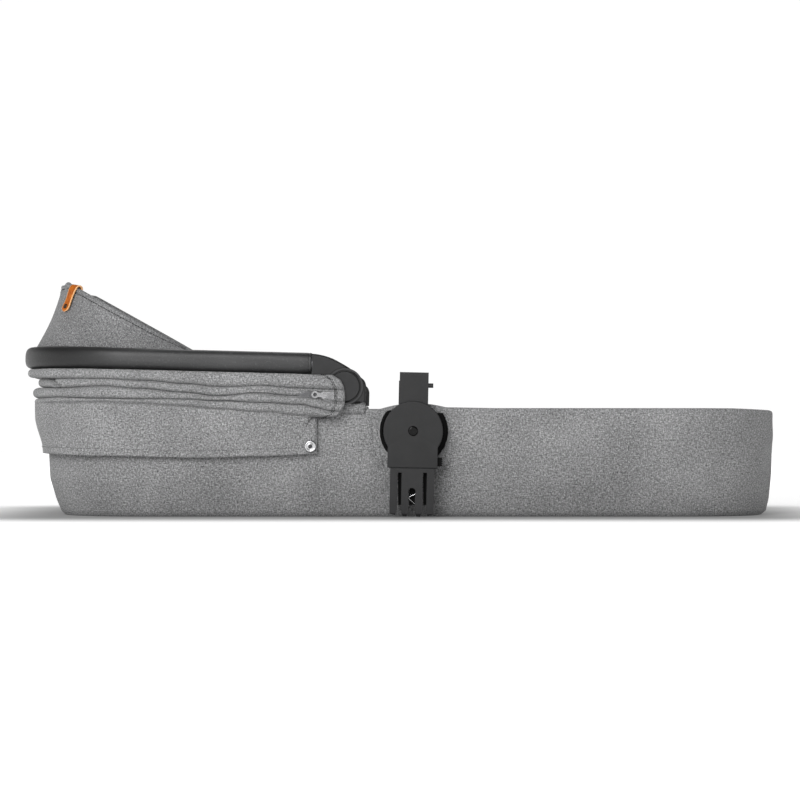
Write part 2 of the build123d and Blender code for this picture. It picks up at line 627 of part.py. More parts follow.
save(canopy_bow(MID_DROP, MID_SLOPE, MID_BOW_Y, BOW_FRONT_X), "canopy_bow_middle")
save(canopy_bow(REAR_DROP, REAR_SLOPE, REAR_BOW_Y, BOW_FRONT_X), "canopy_bow_rear")
mid_plane = bow_plane(MID_DROP, MID_SLOPE)
rear_plane = bow_plane(REAR_DROP, REAR_SLOPE)
start = BOW_TURN_X - FOLD_END_X
reach = BOW_TURN_X - BOW_FRONT_X
save(canopy_fold(mid_plane, -start, reach, FOLD_T, 0, MID_BOW_Y, BOW_R + 0.2), "canopy_fold_middle")
save(canopy_fold(rear_plane, -start, reach, LOWER_FOLD_T, 3.5, REAR_BOW_Y, BOW_R + 0.2),
     "canopy_fold_lower")
upper_start = ARM_START_X - FOLD_END_X
save(canopy_fold(handle_plane, upper_start + 16, HANDLE_REACH - 2, FOLD_T, SLEEVE_R + 4.6, 0, 0),
     "canopy_fold_upper")
save(canopy_skirt(), "canopy_skirt")
save(Compound(children=skirt_snaps()), "skirt_snaps")

save(visor_bow(), "visor_bow")
save(Compound(children=visor_pivots()), "visor_pivots")
save(visor_fabric(), "visor_fabric")
save(visor_tab(), "visor_tab")
save(tab_rivet(), "tab_rivet")

save(Compound(children=zip_tape()), "zip_tape")
save(zip_chain(), "zip_chain")
save(zip_slider(), "zip_slider")
save(zip_puller(), "zip_puller")
print(len(written), "nodes written")
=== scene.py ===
# Folding pram carrycot. Lengths in the dictionaries are millimetres unless a note says otherwise.
import math

import bmesh
import bpy
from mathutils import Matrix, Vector, noise


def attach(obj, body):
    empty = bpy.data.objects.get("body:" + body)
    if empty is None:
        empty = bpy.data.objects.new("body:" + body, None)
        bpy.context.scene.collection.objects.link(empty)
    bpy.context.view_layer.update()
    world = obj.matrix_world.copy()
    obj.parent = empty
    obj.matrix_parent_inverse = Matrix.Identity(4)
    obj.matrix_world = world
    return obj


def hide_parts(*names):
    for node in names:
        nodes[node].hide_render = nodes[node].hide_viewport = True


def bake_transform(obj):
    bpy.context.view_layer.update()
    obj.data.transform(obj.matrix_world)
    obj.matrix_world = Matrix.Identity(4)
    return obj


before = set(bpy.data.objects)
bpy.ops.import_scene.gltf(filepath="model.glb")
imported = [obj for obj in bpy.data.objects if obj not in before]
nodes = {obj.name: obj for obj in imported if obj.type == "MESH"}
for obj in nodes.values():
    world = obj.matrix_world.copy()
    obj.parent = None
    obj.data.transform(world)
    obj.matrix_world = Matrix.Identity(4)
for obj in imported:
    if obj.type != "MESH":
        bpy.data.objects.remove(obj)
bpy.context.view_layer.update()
scene = bpy.context.scene
print("frame loaded:", len(nodes), "nodes")


# camera, floor and light
view = {"distance": 3200.0, "side": -8.0, "height": 87.1, "lens": 119.5, "shiftX": 0.009, "shiftY": 0.05}


def placeCamera():
    data = bpy.data.cameras.new("camera")
    data.lens = view["lens"]
    data.sensor_width = 36.0
    data.shift_x = view["shiftX"]
    data.shift_y = view["shiftY"]
    camera = bpy.data.objects.new("camera", data)
    scene.collection.objects.link(camera)
    camera.location = (view["side"] / 1000, -view["distance"] / 1000, view["height"] / 1000)
    camera.rotation_euler = (math.radians(90), 0, 0)
    scene.camera = camera


placeCamera()


# where the canopy turns on the cot, and how its folds rise towards the head end
pivot = {"x": -62.1, "z": 147.4}
foldTilt = {"rise": 0.035, "x": 62.0}


# shader maths
class Wire:
    def __init__(self, paint, socket):
        self.paint = paint
        self.socket = socket

    def maths(self, operation, *values):
        return self.paint.add("ShaderNodeMath", {"operation": operation}, dict(enumerate(values)))

    def __add__(self, other):
        return self.maths("ADD", self, other)

    def __radd__(self, other):
        return self.maths("ADD", other, self)

    def __sub__(self, other):
        return self.maths("SUBTRACT", self, other)

    def __rsub__(self, other):
        return self.maths("SUBTRACT", other, self)

    def __mul__(self, other):
        return self.maths("MULTIPLY", self, other)

    def __rmul__(self, other):
        return self.maths("MULTIPLY", other, self)

    def __pow__(self, other):
        return self.maths("POWER", self, other)

    def sine(self):
        return self.maths("SINE", self)

    def absolute(self):
        return self.maths("ABSOLUTE", self)

    def larger(self, other):
        return self.maths("MAXIMUM", self, other)

    def within(self, low, high):  # 0 below low, 1 above high, smooth between
        settings = {"interpolation_type": "SMOOTHSTEP"}
        return self.paint.add("ShaderNodeMapRange", settings, {0: self, 1: low, 2: high})


class Nodes:  # adds nodes to a tree, with their settings and the values or links of their sockets
    def __init__(self, tree):
        self.tree = tree

    def add(self, kind, settings=None, sockets=None, out=0):  # out=None gives every output
        node = self.tree.nodes.new(kind)
        for key, value in (settings or {}).items():
            if key == "stops":
                self.setStops(node.color_ramp, value)
            else:
                setattr(node, key, value)
        for key, value in (sockets or {}).items():
            self.feed(node.inputs[key], value)
        wires = [Wire(self, socket) for socket in node.outputs]
        return wires if out is None else wires[out]

    def setStops(self, ramp, stops):
        while len(ramp.elements) < len(stops):
            ramp.elements.new(0.5)
        for element, (place, colour) in zip(ramp.elements, stops):
            element.position = place
            element.color = (*colour, 1)

    def feed(self, socket, value):
        if isinstance(value, Wire):
            self.tree.links.new(value.socket, socket)
        elif isinstance(value, tuple) and len(value) == 3 and socket.type == "RGBA":
            socket.default_value = (*value, 1)
        else:
            socket.default_value = value


class Paint(Nodes):
    def __init__(self, name):
        self.material = bpy.data.materials.new(name)
        self.material.use_nodes = True
        super().__init__(self.material.node_tree)
        self.tree.nodes.clear()

    def surface(self, sockets):
        shader = self.add("ShaderNodeBsdfPrincipled", None, sockets)
        self.add("ShaderNodeOutputMaterial", None, {0: shader}, out=None)
        return self.material

    def mix(self, factor, a, b):
        return self.add("ShaderNodeMix", {"data_type": "RGBA"}, {0: factor, 6: a, 7: b}, out=2)

    def scaled(self, place, x, y, z=1.0):
        return self.add("ShaderNodeVectorMath", {"operation": "MULTIPLY"}, {0: place, 1: (x, y, z)})

    def noise(self, place, scale, detail=2.0, rough=0.5):
        sockets = {"Vector": place, "Scale": scale, "Detail": detail, "Roughness": rough}
        return self.add("ShaderNodeTexNoise", None, sockets)

    def parts(self, place):
        return self.add("ShaderNodeSeparateXYZ", None, {0: place}, out=None)

    def bump(self, height, distance, strength=1.0):
        sockets = {"Height": height, "Distance": distance, "Strength": strength}
        return self.add("ShaderNodeBump", None, sockets)

    def weaveMap(self):
        return self.add("ShaderNodeUVMap", {"uv_map": "weave"})

    def objectMap(self):
        return self.add("ShaderNodeTexCoord", None, None, out=3)


# how fine the patterns are, as noise scales
grains = {"yarnLong": 240, "yarnShort": 780, "fleckAcross": 560, "fleckAlong": 520, "clothCloud": 14,
          "mottle": 90, "plasticCloud": 45, "plasticSpark": 1500}


def melangeCloth(name, dark, middle, light, pitch=1.5, bump=0.00035):
    paint = Paint(name)
    place = paint.weaveMap()
    u, v, unused = paint.parts(place)
    warp = paint.noise(paint.scaled(place, grains["yarnShort"], grains["yarnLong"]), 1.0, 3.0, 0.66)
    weft = paint.noise(paint.scaled(place, grains["yarnLong"], grains["yarnShort"]), 1.0, 3.0, 0.66)
    fleck = paint.noise(paint.scaled(place, grains["fleckAcross"], grains["fleckAlong"]), 1.0, 4.0, 0.72)
    cloud = paint.noise(paint.scaled(place, grains["clothCloud"], grains["clothCloud"]), 1.0, 3.0, 0.55)
    turn = 2000 * math.pi / pitch
    cross = (u * turn).sine() * (v * turn).sine()
    over = cross.within(-0.35, 0.35)
    yarn = warp * over + weft * (1 - over)
    tone = yarn * 0.52 + fleck * 0.42 + cloud * 0.10 - 0.02
    stops = [(0.39, dark), (0.5, middle), (0.63, light)]
    colour = paint.add("ShaderNodeValToRGB", {"stops": stops}, {0: tone})
    height = (cross * 0.5 + 0.5) * 0.55 + fleck * 0.9
    sockets = {"Base Color": colour, "Roughness": 0.94, "Specular IOR Level": 0.12, "Sheen Weight": 0.12,
               "Sheen Roughness": 0.6, "Normal": paint.bump(height, bump)}
    return paint.surface(sockets)


def plainCloth(name, colour, shade, pitch, bump=0.0002):
    paint = Paint(name)
    place = paint.weaveMap()
    u, v, unused = paint.parts(place)
    turn = 2000 * math.pi / pitch
    rib = ((u * turn).sine() * (v * turn).sine()) * 0.5 + 0.5
    mottle = paint.noise(paint.scaled(place, grains["mottle"], grains["mottle"]), 1.0, 4.0, 0.6)
    mixed = paint.mix((mottle * 0.6 + rib * 0.4).within(0.25, 0.8), shade, colour)
    sockets = {"Base Color": mixed, "Roughness": 0.9, "Specular IOR Level": 0.15,
               "Normal": paint.bump(rib + mottle * 0.4, bump)}
    return paint.surface(sockets)


def mouldedPlastic(name, colour, roughness, grain=grains["plasticSpark"], depth=0.00006, gloss=0.3):
    paint = Paint(name)
    place = paint.objectMap()
    spark = paint.noise(place, grain, 3.0, 0.6)
    cloud = paint.noise(place, grains["plasticCloud"], 3.0, 0.5)
    # painted highlight: convex edges are made lighter
    edge = paint.add("ShaderNodeNewGeometry", None, None, out=7).within(0.53, 0.62)
    lighter = tuple(min(1.0, c * 1.6 + 0.004) for c in colour)
    tone = paint.mix(cloud.within(0.3, 0.75) * 0.35 + edge * 0.5, colour, lighter)
    sockets = {"Base Color": tone, "Roughness": cloud * 0.12 + (roughness - 0.06), "Specular IOR Level": gloss,
               "Normal": paint.bump(spark, depth)}
    return paint.surface(sockets)


def ringedPlastic(name, colour, grooveShade, roughness):
    # moulded plastic round the canopy's turning point, with painted shade in two rings of grooves and a painted
    # highlight on the ridge ring between them
    paint = Paint(name)
    place = paint.objectMap()
    x, y, z = paint.parts(place)
    across, high = x * 1000 - pivot["x"], z * 1000 - pivot["z"]
    radius = (across * across + high * high) ** 0.5
    bands = (((16.5, 16.9), (18.2, 18.7)), ((20.6, 20.9), (21.6, 22.1)), ((18.7, 19.1), (20.2, 20.6)))
    inner, outer, ridgeHighlight = (radius.within(*rises) * (1 - radius.within(*falls)) for rises, falls in bands)
    cloud = paint.noise(place, grains["plasticCloud"], 3.0, 0.5)
    lighter = tuple(c * 1.9 for c in colour)
    body = paint.mix(cloud.within(0.3, 0.75) * 0.6, colour, lighter)
    # painted highlight on the ridge ring, then painted shade in the groove rings
    lit = paint.mix(ridgeHighlight * 0.7, body, tuple(c * 3.4 for c in colour))
    spark = paint.noise(place, grains["plasticSpark"], 3.0, 0.6)
    sockets = {"Base Color": paint.mix(inner.larger(outer), lit, grooveShade),
               "Roughness": cloud * 0.12 + (roughness - 0.06), "Specular IOR Level": 0.32,
               "Normal": paint.bump(spark, 0.00006)}
    return paint.surface(sockets)


def metal(name, colour, roughness, brushed=0.0):
    paint = Paint(name)
    place = paint.objectMap()
    cloud = paint.noise(place, 160, 4.0, 0.6)
    darker = tuple(c * 0.72 for c in colour)
    sockets = {"Base Color": paint.mix(cloud.within(0.3, 0.7), darker, colour), "Metallic": 1.0,
               "Roughness": cloud * 0.2 + (roughness - 0.08)}
    if brushed:
        scratch = paint.noise(paint.scaled(place, 60, 900, 2600), 1.0, 2.0, 0.5)
        sockets["Normal"] = paint.bump(scratch, brushed)
    return paint.surface(sockets)


def sleeveLeather(name):
    paint = Paint(name)
    place = paint.objectMap()
    pebble = paint.add("ShaderNodeTexVoronoi", {"feature": "SMOOTH_F1"}, {"Vector": place, "Scale": 900.0})
    grain = paint.noise(place, 420, 4.0, 0.6)
    cloud = paint.noise(paint.scaled(place, 6, 12, 40), 1.0, 3.0, 0.5)
    tone = paint.mix(cloud.within(0.35, 0.7), (0.016, 0.016, 0.0165), (0.042, 0.042, 0.043))
    x, y, z = paint.parts(place)
    # painted shade: the sleeve is darker towards its head end, and lighter grain flecks lie only away from it
    awayFromHead = x.within(-0.40, -0.27)
    headShaded = paint.mix(awayFromHead, (0.006, 0.006, 0.0062), tone)
    flecked = paint.mix(grain.within(0.55, 0.75) * 0.5 * awayFromHead, headShaded, (0.085, 0.085, 0.086))
    sockets = {"Base Color": flecked, "Roughness": grain * 0.22 + 0.34, "Specular IOR Level": 0.45,
               "Normal": paint.bump(pebble * 0.7 + grain * 0.5, 0.00022)}
    return paint.surface(sockets)


def tanLeather(name):
    paint = Paint(name)
    place = paint.weaveMap()
    u, v, unused = paint.parts(place)
    # u runs across the strap from 0 to 1 and lies outside that on its cut edges
    middle = (u - 0.5).absolute()
    cut = middle.within(0.40, 0.47)
    solid = paint.objectMap()
    grain = paint.noise(solid, 700, 4.0, 0.6)
    cloud = paint.noise(solid, 110, 3.0, 0.5)
    base = paint.mix(cloud.within(0.35, 0.7), (0.34, 0.078, 0.003), (0.52, 0.135, 0.006))
    fine = paint.mix(grain.within(0.5, 0.8) * 0.4, base, (0.16, 0.04, 0.008))
    edged = paint.mix(cut * 0.85, fine, (0.86, 0.50, 0.24))
    sockets = {"Base Color": edged, "Roughness": 0.5, "Specular IOR Level": 0.22,
               "Normal": paint.bump(grain, 0.00012)}
    return paint.surface(sockets)


cloth = melangeCloth("melangeCloth", (0.066, 0.066, 0.0675), (0.224, 0.225, 0.227), (0.55, 0.55, 0.553))
# painted shade: the visor's cloth is the same melange darkened to about three quarters
visorShadedCloth = melangeCloth("visorShadedCloth", (0.050, 0.050, 0.0515), (0.172, 0.173, 0.175), (0.43, 0.43, 0.433))
threadGrey = plainCloth("threadGrey", (0.13, 0.13, 0.135), (0.055, 0.055, 0.06), 0.8)
liningCloth = plainCloth("liningCloth", (0.40, 0.405, 0.41), (0.30, 0.303, 0.31), 1.2)
jersey = plainCloth("mattressJersey", (0.80, 0.80, 0.78), (0.68, 0.68, 0.66), 1.4)
zipTapeCloth = plainCloth("zipTapeCloth", (0.27, 0.27, 0.275), (0.15, 0.15, 0.155), 1.0)
blackPlastic = mouldedPlastic("blackPlastic", (0.0125, 0.0125, 0.013), 0.46)
elbowPlastic = ringedPlastic("elbowPlastic", (0.0105, 0.0105, 0.011), (0.001, 0.001, 0.001), 0.44)
hubPlastic = mouldedPlastic("hubPlastic", (0.0016, 0.0016, 0.0016), 0.45, gloss=0.06)
shellPlastic = mouldedPlastic("shellPlastic", (0.006, 0.006, 0.006), 0.6)
boardPlastic = mouldedPlastic("boardPlastic", (0.12, 0.12, 0.12), 0.6)
toothPlastic = mouldedPlastic("toothPlastic", (0.10, 0.10, 0.105), 0.4, 900)
screwGloss = mouldedPlastic("screwGloss", (0.0006, 0.0006, 0.0006), 0.1, 300, 0.00001, 0.22)
threadBlack = plainCloth("threadBlack", (0.02, 0.02, 0.02), (0.008, 0.008, 0.008), 0.8)
tubeMetal = metal("tubeMetal", (0.56, 0.57, 0.59), 0.35, 0.00003)
wireMetal = metal("wireMetal", (0.45, 0.46, 0.48), 0.3)
plateMetal = metal("plateMetal", (0.52, 0.52, 0.54), 0.4, 0.00003)
snapMetal = metal("snapMetal", (0.60, 0.60, 0.61), 0.2)
zipMetal = metal("zipMetal", (0.30, 0.30, 0.305), 0.24)
coreMetal = metal("coreMetal", (0.07, 0.07, 0.072), 0.3)
rivetMetal = metal("rivetMetal", (0.08, 0.055, 0.04), 0.35)
sleeveSkin = sleeveLeather("sleeveSkin")
tabSkin = tanLeather("tabSkin")
print("materials ready")


# mesh helpers
def smooth(low, high, x):
    t = min(max((x - low) / (high - low), 0.0), 1.0)
    return t * t * (3 - 2 * t)


def steady(low, high, x):
    return (x - low) / (high - low)


def along(table, x, step=smooth):  # reads a short list of (place, value), with smooth or steady steps between
    if x <= table[0][0]:
        return table[0][1]
    for (a, low), (b, high) in zip(table, table[1:]):
        if x <= b:
            return low + (high - low) * step(a, b, x)
    return table[-1][1]


def wander(x, y, z, size):  # soft noise between -1 and 1, size is the length of a wave
    return noise.noise(Vector((x / size, y / size, z / size)))


def makeMesh(name, points, faces, material, faceMap=None):
    mesh = bpy.data.meshes.new(name)
    mesh.from_pydata([tuple(c * 0.001 for c in p) for p in points], [], faces)
    mesh.polygons.foreach_set("use_smooth", [True] * len(faces))
    if faceMap:
        layer = mesh.uv_layers.new(name="weave")
        layer.data.foreach_set("uv", [c for corner in faceMap for c in corner])
    mesh.materials.append(material)
    mesh.update()
    piece = bpy.data.objects.new(name, mesh)
    scene.collection.objects.link(piece)
    return piece


def gridFaces(rows, columns, wrapU, wrapV, start=0):
    faces, corners = [], []
    for j in range(rows if wrapV else rows - 1):
        for i in range(columns if wrapU else columns - 1):
            a, b = i, (i + 1) % columns
            c, d = j, (j + 1) % rows
            faces.append([start + c * columns + a, start + c * columns + b,
                          start + d * columns + b, start + d * columns + a])
            corners.append([(i, j), (i + 1, j), (i + 1, j + 1), (i, j + 1)])
    return faces, corners


def gridPiece(name, grid, material, wrapU=False, wrapV=False, flip=False, keep=None, across=None):
    rows, columns = len(grid), len(grid[0])
    faces, corners = gridFaces(rows, columns, wrapU, wrapV)
    guide = grid[across if across is not None else rows // 2]
    uList = [0.0]
    for i in range(columns):
        uList.append(uList[-1] + (Vector(guide[(i + 1) % columns]) - Vector(guide[i])).length)
    vLists = []
    for i in range(columns):
        column = [0.0]
        for j in range(rows):
            step = Vector(grid[(j + 1) % rows][i]) - Vector(grid[j][i])
            column.append(column[-1] + step.length)
        vLists.append(column)
    used, faceMap = [], []
    for face, corner in zip(faces, corners):
        if keep and not keep([grid[c // columns][c % columns] for c in face]):
            continue
        if flip:
            face, corner = face[::-1], corner[::-1]
        used.append(face)
        faceMap += [(uList[i] * 0.001, vLists[i % columns][j] * 0.001) for i, j in corner]
    points = [p for row in grid for p in row]
    return makeMesh(name, points, used, material, faceMap)


def edited(piece, change):  # lets change() work on the piece's mesh
    work = bmesh.new()
    work.from_mesh(piece.data)
    change(work)
    work.to_mesh(piece.data)
    work.free()
    piece.data.update()
    return piece


def tidyMesh(piece, outwards=True, merge=0.00002):
    def change(work):
        bmesh.ops.remove_doubles(work, verts=work.verts, dist=merge)
        loose = [v for v in work.verts if not v.link_faces]
        bmesh.ops.delete(work, geom=loose, context="VERTS")
        if outwards:
            bmesh.ops.recalc_face_normals(work, faces=work.faces)

    return edited(piece, change)


def capHoles(piece):
    def change(work):
        bmesh.ops.holes_fill(work, edges=[e for e in work.edges if e.is_boundary], sides=0)
        bmesh.ops.recalc_face_normals(work, faces=work.faces)

    return edited(piece, change)


def closeFloor(piece, level):  # fills the hole in the underside only
    def change(work):
        low = [e for e in work.edges if e.is_boundary and all(v.co.z < level for v in e.verts)]
        bmesh.ops.holes_fill(work, edges=low, sides=0)

    return edited(piece, change)


def applied(piece):  # turns live modifiers into plain mesh
    depsgraph = bpy.context.evaluated_depsgraph_get()
    mesh = bpy.data.meshes.new_from_object(piece.evaluated_get(depsgraph))
    piece.modifiers.clear()
    old = piece.data
    piece.data = mesh
    bpy.data.meshes.remove(old)
    return piece


def thicken(piece, thickness, offset=-1.0):
    solid = piece.modifiers.new("wall", "SOLIDIFY")
    solid.thickness = thickness * 0.001
    solid.offset = offset
    solid.use_even_offset = True
    return applied(piece)


def tubeAlong(name, path, radius, material, closed=False, sides=10, squashZ=1.0):
    path = [Vector(p) for p in path]
    count = len(path)
    grid = []
    side = None
    for i in range(count):
        before = path[(i - 1) % count] if closed or i else path[i]
        after = path[(i + 1) % count] if closed or i < count - 1 else path[i]
        tangent = (after - before).normalized()
        if side is None:
            side = tangent.orthogonal().normalized()
        side = (side - tangent * side.dot(tangent)).normalized()
        up = tangent.cross(side)
        grid.append([tuple(path[i] + (side * math.cos(a) + up * math.sin(a)) * radius)
                     for a in (2 * math.pi * k / sides for k in range(sides))])
    piece = gridPiece(name, grid, material, wrapU=True, wrapV=closed)
    return tidyMesh(piece) if closed else capHoles(piece)


def lathePiece(name, profile, centre, outward, material, sides=40):
    # profile is (radius, height along outward) from the middle out
    outward = Vector(outward).normalized()
    side = outward.orthogonal().normalized()
    up = outward.cross(side)
    grid = []
    for radius, height in profile:
        ring = []
        for k in range(sides):
            angle = 2 * math.pi * k / sides
            ring.append(tuple(Vector(centre) + outward * height
                              + (side * math.cos(angle) + up * math.sin(angle)) * max(radius, 0.0005)))
        grid.append(ring)
    piece = gridPiece(name, grid, material, wrapU=True)
    tidyMesh(piece, merge=0.000002)
    return capHoles(piece)


def joinPieces(name, pieces):
    bpy.ops.object.select_all(action="DESELECT")
    for piece in pieces:
        piece.select_set(True)
    bpy.context.view_layer.objects.active = pieces[0]
    bpy.ops.object.join()
    pieces[0].name = name
    pieces[0].data.name = name
    return pieces[0]


def settle(piece, body, slot, *stands):  # what it moves with, the slot of its finish, which is not used, and the nodes it stands for
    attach(piece, body)
    if stands:
        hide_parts(*stands)


# stitches
stitch = {"length": 2.6, "gap": 1.3, "thick": 0.55}


def rowTree(name, sizes, material, makeShape, rounded=False):
    # sizes are the named inputs with their usual values, the first is the spacing
    tree = bpy.data.node_groups.new(name, "GeometryNodeTree")
    face = tree.interface
    face.new_socket("Path", in_out="INPUT", socket_type="NodeSocketGeometry")
    for label, value in sizes.items():
        face.new_socket(label, in_out="INPUT", socket_type="NodeSocketFloat").default_value = value
    face.new_socket("Row", in_out="OUTPUT", socket_type="NodeSocketGeometry")
    grow = Nodes(tree)
    path, spacing, *others = grow.add("NodeGroupInput", out=None)[:len(sizes) + 1]
    curve = grow.add("GeometryNodeMeshToCurve", None, {0: path})
    sockets = {0: curve, "Length": spacing}
    points, tangent = grow.add("GeometryNodeCurveToPoints", {"mode": "LENGTH"}, sockets, out=None)[:2]
    sockets = {"Points": points, **makeShape(grow, tangent, *others)}
    row = grow.add("GeometryNodeInstanceOnPoints", None, sockets)
    row = grow.add("GeometryNodeRealizeInstances", None, {0: row})
    if rounded:
        row = grow.add("GeometryNodeSetShadeSmooth", None, {0: row})
    row = grow.add("GeometryNodeSetMaterial", None, {0: row, "Material": material})
    grow.add("NodeGroupOutput", None, {0: row}, out=None)
    return tree


def threadShape(grow, tangent, length, thickness):
    thread = grow.add("GeometryNodeMeshUVSphere", None, {"Segments": 6, "Rings": 5, "Radius": 0.5})
    size = grow.add("ShaderNodeCombineXYZ", None, {0: thickness, 1: thickness, 2: length})
    turn = grow.add("FunctionNodeAlignEulerToVector", {"axis": "Z"}, {"Vector": tangent})
    return {"Instance": thread, "Rotation": turn, "Scale": size}


def toothShape(grow, tangent):
    sockets = {"Vertices": 8, "Radius": 0.00045, "Depth": 0.0042}
    return {"Instance": grow.add("GeometryNodeMeshCylinder", None, sockets)}


def stitchTree(name, material):
    sizes = {"Spacing": 0.0039, "Length": 0.0026, "Thickness": 0.00055}
    return rowTree(name, sizes, material, threadShape, rounded=True)


threadTree = stitchTree("threadStitches", threadGrey)
darkThreadTree = stitchTree("darkThreadStitches", threadBlack)


def runTree(piece, tree, values):
    node = piece.modifiers.new("grow", "NODES")
    node.node_group = tree
    for item in tree.interface.items_tree:
        if item.item_type == "SOCKET" and item.in_out == "INPUT" and item.name in values:
            node[item.identifier] = values[item.name]
    piece.data.update()
    return applied(piece)


def stitchRow(name, paths, length=None, thick=None, gap=None, tree=None):
    points, edges = [], []
    for path, closed in paths:
        start = len(points)
        points += [tuple(c * 0.001 for c in p) for p in path]
        edges += [(start + i, start + i + 1) for i in range(len(path) - 1)]
        if closed:
            edges.append((start + len(path) - 1, start))
    mesh = bpy.data.meshes.new(name)
    mesh.from_pydata(points, edges, [])
    piece = bpy.data.objects.new(name, mesh)
    scene.collection.objects.link(piece)
    long = (length or stitch["length"]) * 0.001
    values = {"Spacing": long + (gap or stitch["gap"]) * 0.001, "Length": long,
              "Thickness": (thick or stitch["thick"]) * 0.001}
    return runTree(piece, tree or threadTree, values)


# tub
tub = {
    # height, head end, foot end, half width, corner radius
    "sections": [(0.0, -391.5, 423.0, 181.0, 101.0), (5.0, -396.5, 429.5, 186.0, 106.0),
                 (18.0, -402.0, 433.0, 190.5, 111.0), (42.0, -409.5, 434.5, 196.0, 116.5),
                 (90.0, -412.0, 437.5, 199.5, 120.0), (123.0, -412.0, 437.0, 200.0, 120.0)],
    "rim": 123.0,
    "lip": 20.0,
    "archHalf": 37.0,
    "archRise": 5.4,
}
hub = {"x": 14.8, "z": 97.1, "holeX": 16.2, "hole": 39.3, "flatTop": 118.6, "edge": 3.4,
       "seamX": 16.7, "seamZ": 91.6, "seam": 48.3}


def tubSize(z, inset):
    head, foot, half, corner = (along([(s[0], s[column]) for s in tub["sections"]], z, steady)
                                for column in range(1, 5))
    return head + inset, foot - inset, half - inset, max(corner - inset, 2.0)


ringCounts = {"corner": 40, "end": 36}
sideMarks = [0.0]  # places along a straight side, closer together beside the hub
while sideMarks[-1] < 628.0:
    sideMarks.append(sideMarks[-1] + (2.0 if 250.0 < sideMarks[-1] < 365.0 else 4.6))
sideMarks = [mark / sideMarks[-1] for mark in sideMarks][:-1]


def tubRing(z, inset):
    # one loop of (x, y, outward x, outward y), from the right side's head end round to the foot
    head, foot, half, corner = tubSize(z, inset)
    start, long, wide = head + corner, foot - head - 2 * corner, half - corner
    turn, end = ringCounts["corner"], ringCounts["end"]

    def arc(cx, cy, first):
        angles = [math.radians(first + 90 * k / turn) for k in range(turn)]
        return [(cx + corner * math.cos(a), cy + corner * math.sin(a), math.cos(a), math.sin(a))
                for a in angles]

    loop = [(start + long * mark, -half, 0.0, -1.0) for mark in sideMarks]
    loop += arc(foot - corner, -wide, -90)
    loop += [(foot, -wide + 2 * wide * k / end, 1.0, 0.0) for k in range(end)]
    loop += arc(foot - corner, wide, 0)
    loop += [(start + long * mark, half, 0.0, 1.0) for mark in [1.0] + sideMarks[:0:-1]]
    loop += arc(start, wide, 90)
    loop += [(head, wide - 2 * wide * k / end, -1.0, 0.0) for k in range(end)]
    return loop + arc(start, -wide, 180)


rimDips = [(-60, -0.9), (-20, -0.9), (52, 1.0), (110, 0.0), (380, 0.0), (437, -1.6)]


def rimLift(x, y):  # how far the rim stands over its usual height at a place
    if abs(y) < 150:
        return along(rimDips[-2:], x, steady)
    half, rise = tub["archHalf"], tub["archRise"]
    radius = (half * half + rise * rise) / (2 * rise)
    dx = x - hub["x"]
    lift = math.sqrt(max(radius * radius - dx * dx, 0.0)) - (radius - rise) if abs(dx) < half else 0.0
    return max(lift, 0.0) + along(rimDips, x, steady)


def holeLimit(x):  # height where the rim's cloth closes the opening
    left = tub["rim"] + rimLift(x, 200) - hub["edge"]
    return left + (hub["flatTop"] - left) * smooth(8, 22, x)


def holeOutline(grow, count=120):
    path = []
    for k in range(count):
        a = 2 * math.pi * k / count
        radius = hub["hole"] + grow
        x = hub["holeX"] + radius * math.cos(a)
        path.append((x, min(hub["z"] + radius * math.sin(a), holeLimit(x) + grow)))
    return path


def seamOutline():  # U-shaped seam round the hub, open at the rim
    r, cx, cz = hub["seam"], hub["seamX"], hub["seamZ"]
    path = [(cx - r, 118.5 - 3.0 * k) for k in range(9)]
    path += [(cx - r * math.cos(math.pi * k / 60), cz - r * math.sin(math.pi * k / 60)) for k in range(61)]
    return path + [(cx + r, 94.5 + 3.0 * k) for k in range(9)]


def seamGap(x, z):
    if z > hub["seamZ"]:
        return abs(abs(x - hub["seamX"]) - hub["seam"])
    return abs(math.hypot(x - hub["seamX"], z - hub["seamZ"]) - hub["seam"])


def nearestOn(path, x, z):
    best = None
    for k, (ax, az) in enumerate(path):
        bx, bz = path[(k + 1) % len(path)]
        dx, dz = bx - ax, bz - az
        size = dx * dx + dz * dz
        t = min(max(((x - ax) * dx + (z - az) * dz) / size, 0.0), 1.0) if size else 0.0
        px, pz = ax + dx * t, az + dz * t
        gap = math.hypot(x - px, z - pz)
        if best is None or gap < best[0]:
            best = (gap, px, pz)
    return best


def tubWave(x, y, z):  # slack and pull of the cloth, out from the wall
    onSide = abs(y) > 150
    wave = 0.7 * wander(x, y, z * 1.4, 62) + 0.4 * wander(x + 50, y, z, 21)
    if onSide:
        dx, dz = x - hub["holeX"], z - hub["z"]
        gap = math.hypot(dx, dz) - hub["hole"]
        wave -= 1.3 * smooth(36, 0, gap)
        # short pulls below the hub, where the cloth is stretched over the housing
        angle = math.atan2(dz, dx)
        low = smooth(0.1, 0.8, -math.sin(angle))
        wave += 0.75 * low * math.sin(angle * 17) * smooth(0, 8, gap) * smooth(44, 14, gap)
        wave -= 0.8 * smooth(2.4, 0.6, seamGap(x, z))
    return min(wave, 0.9) * smooth(0, 14, z) * smooth(121, 112, z)


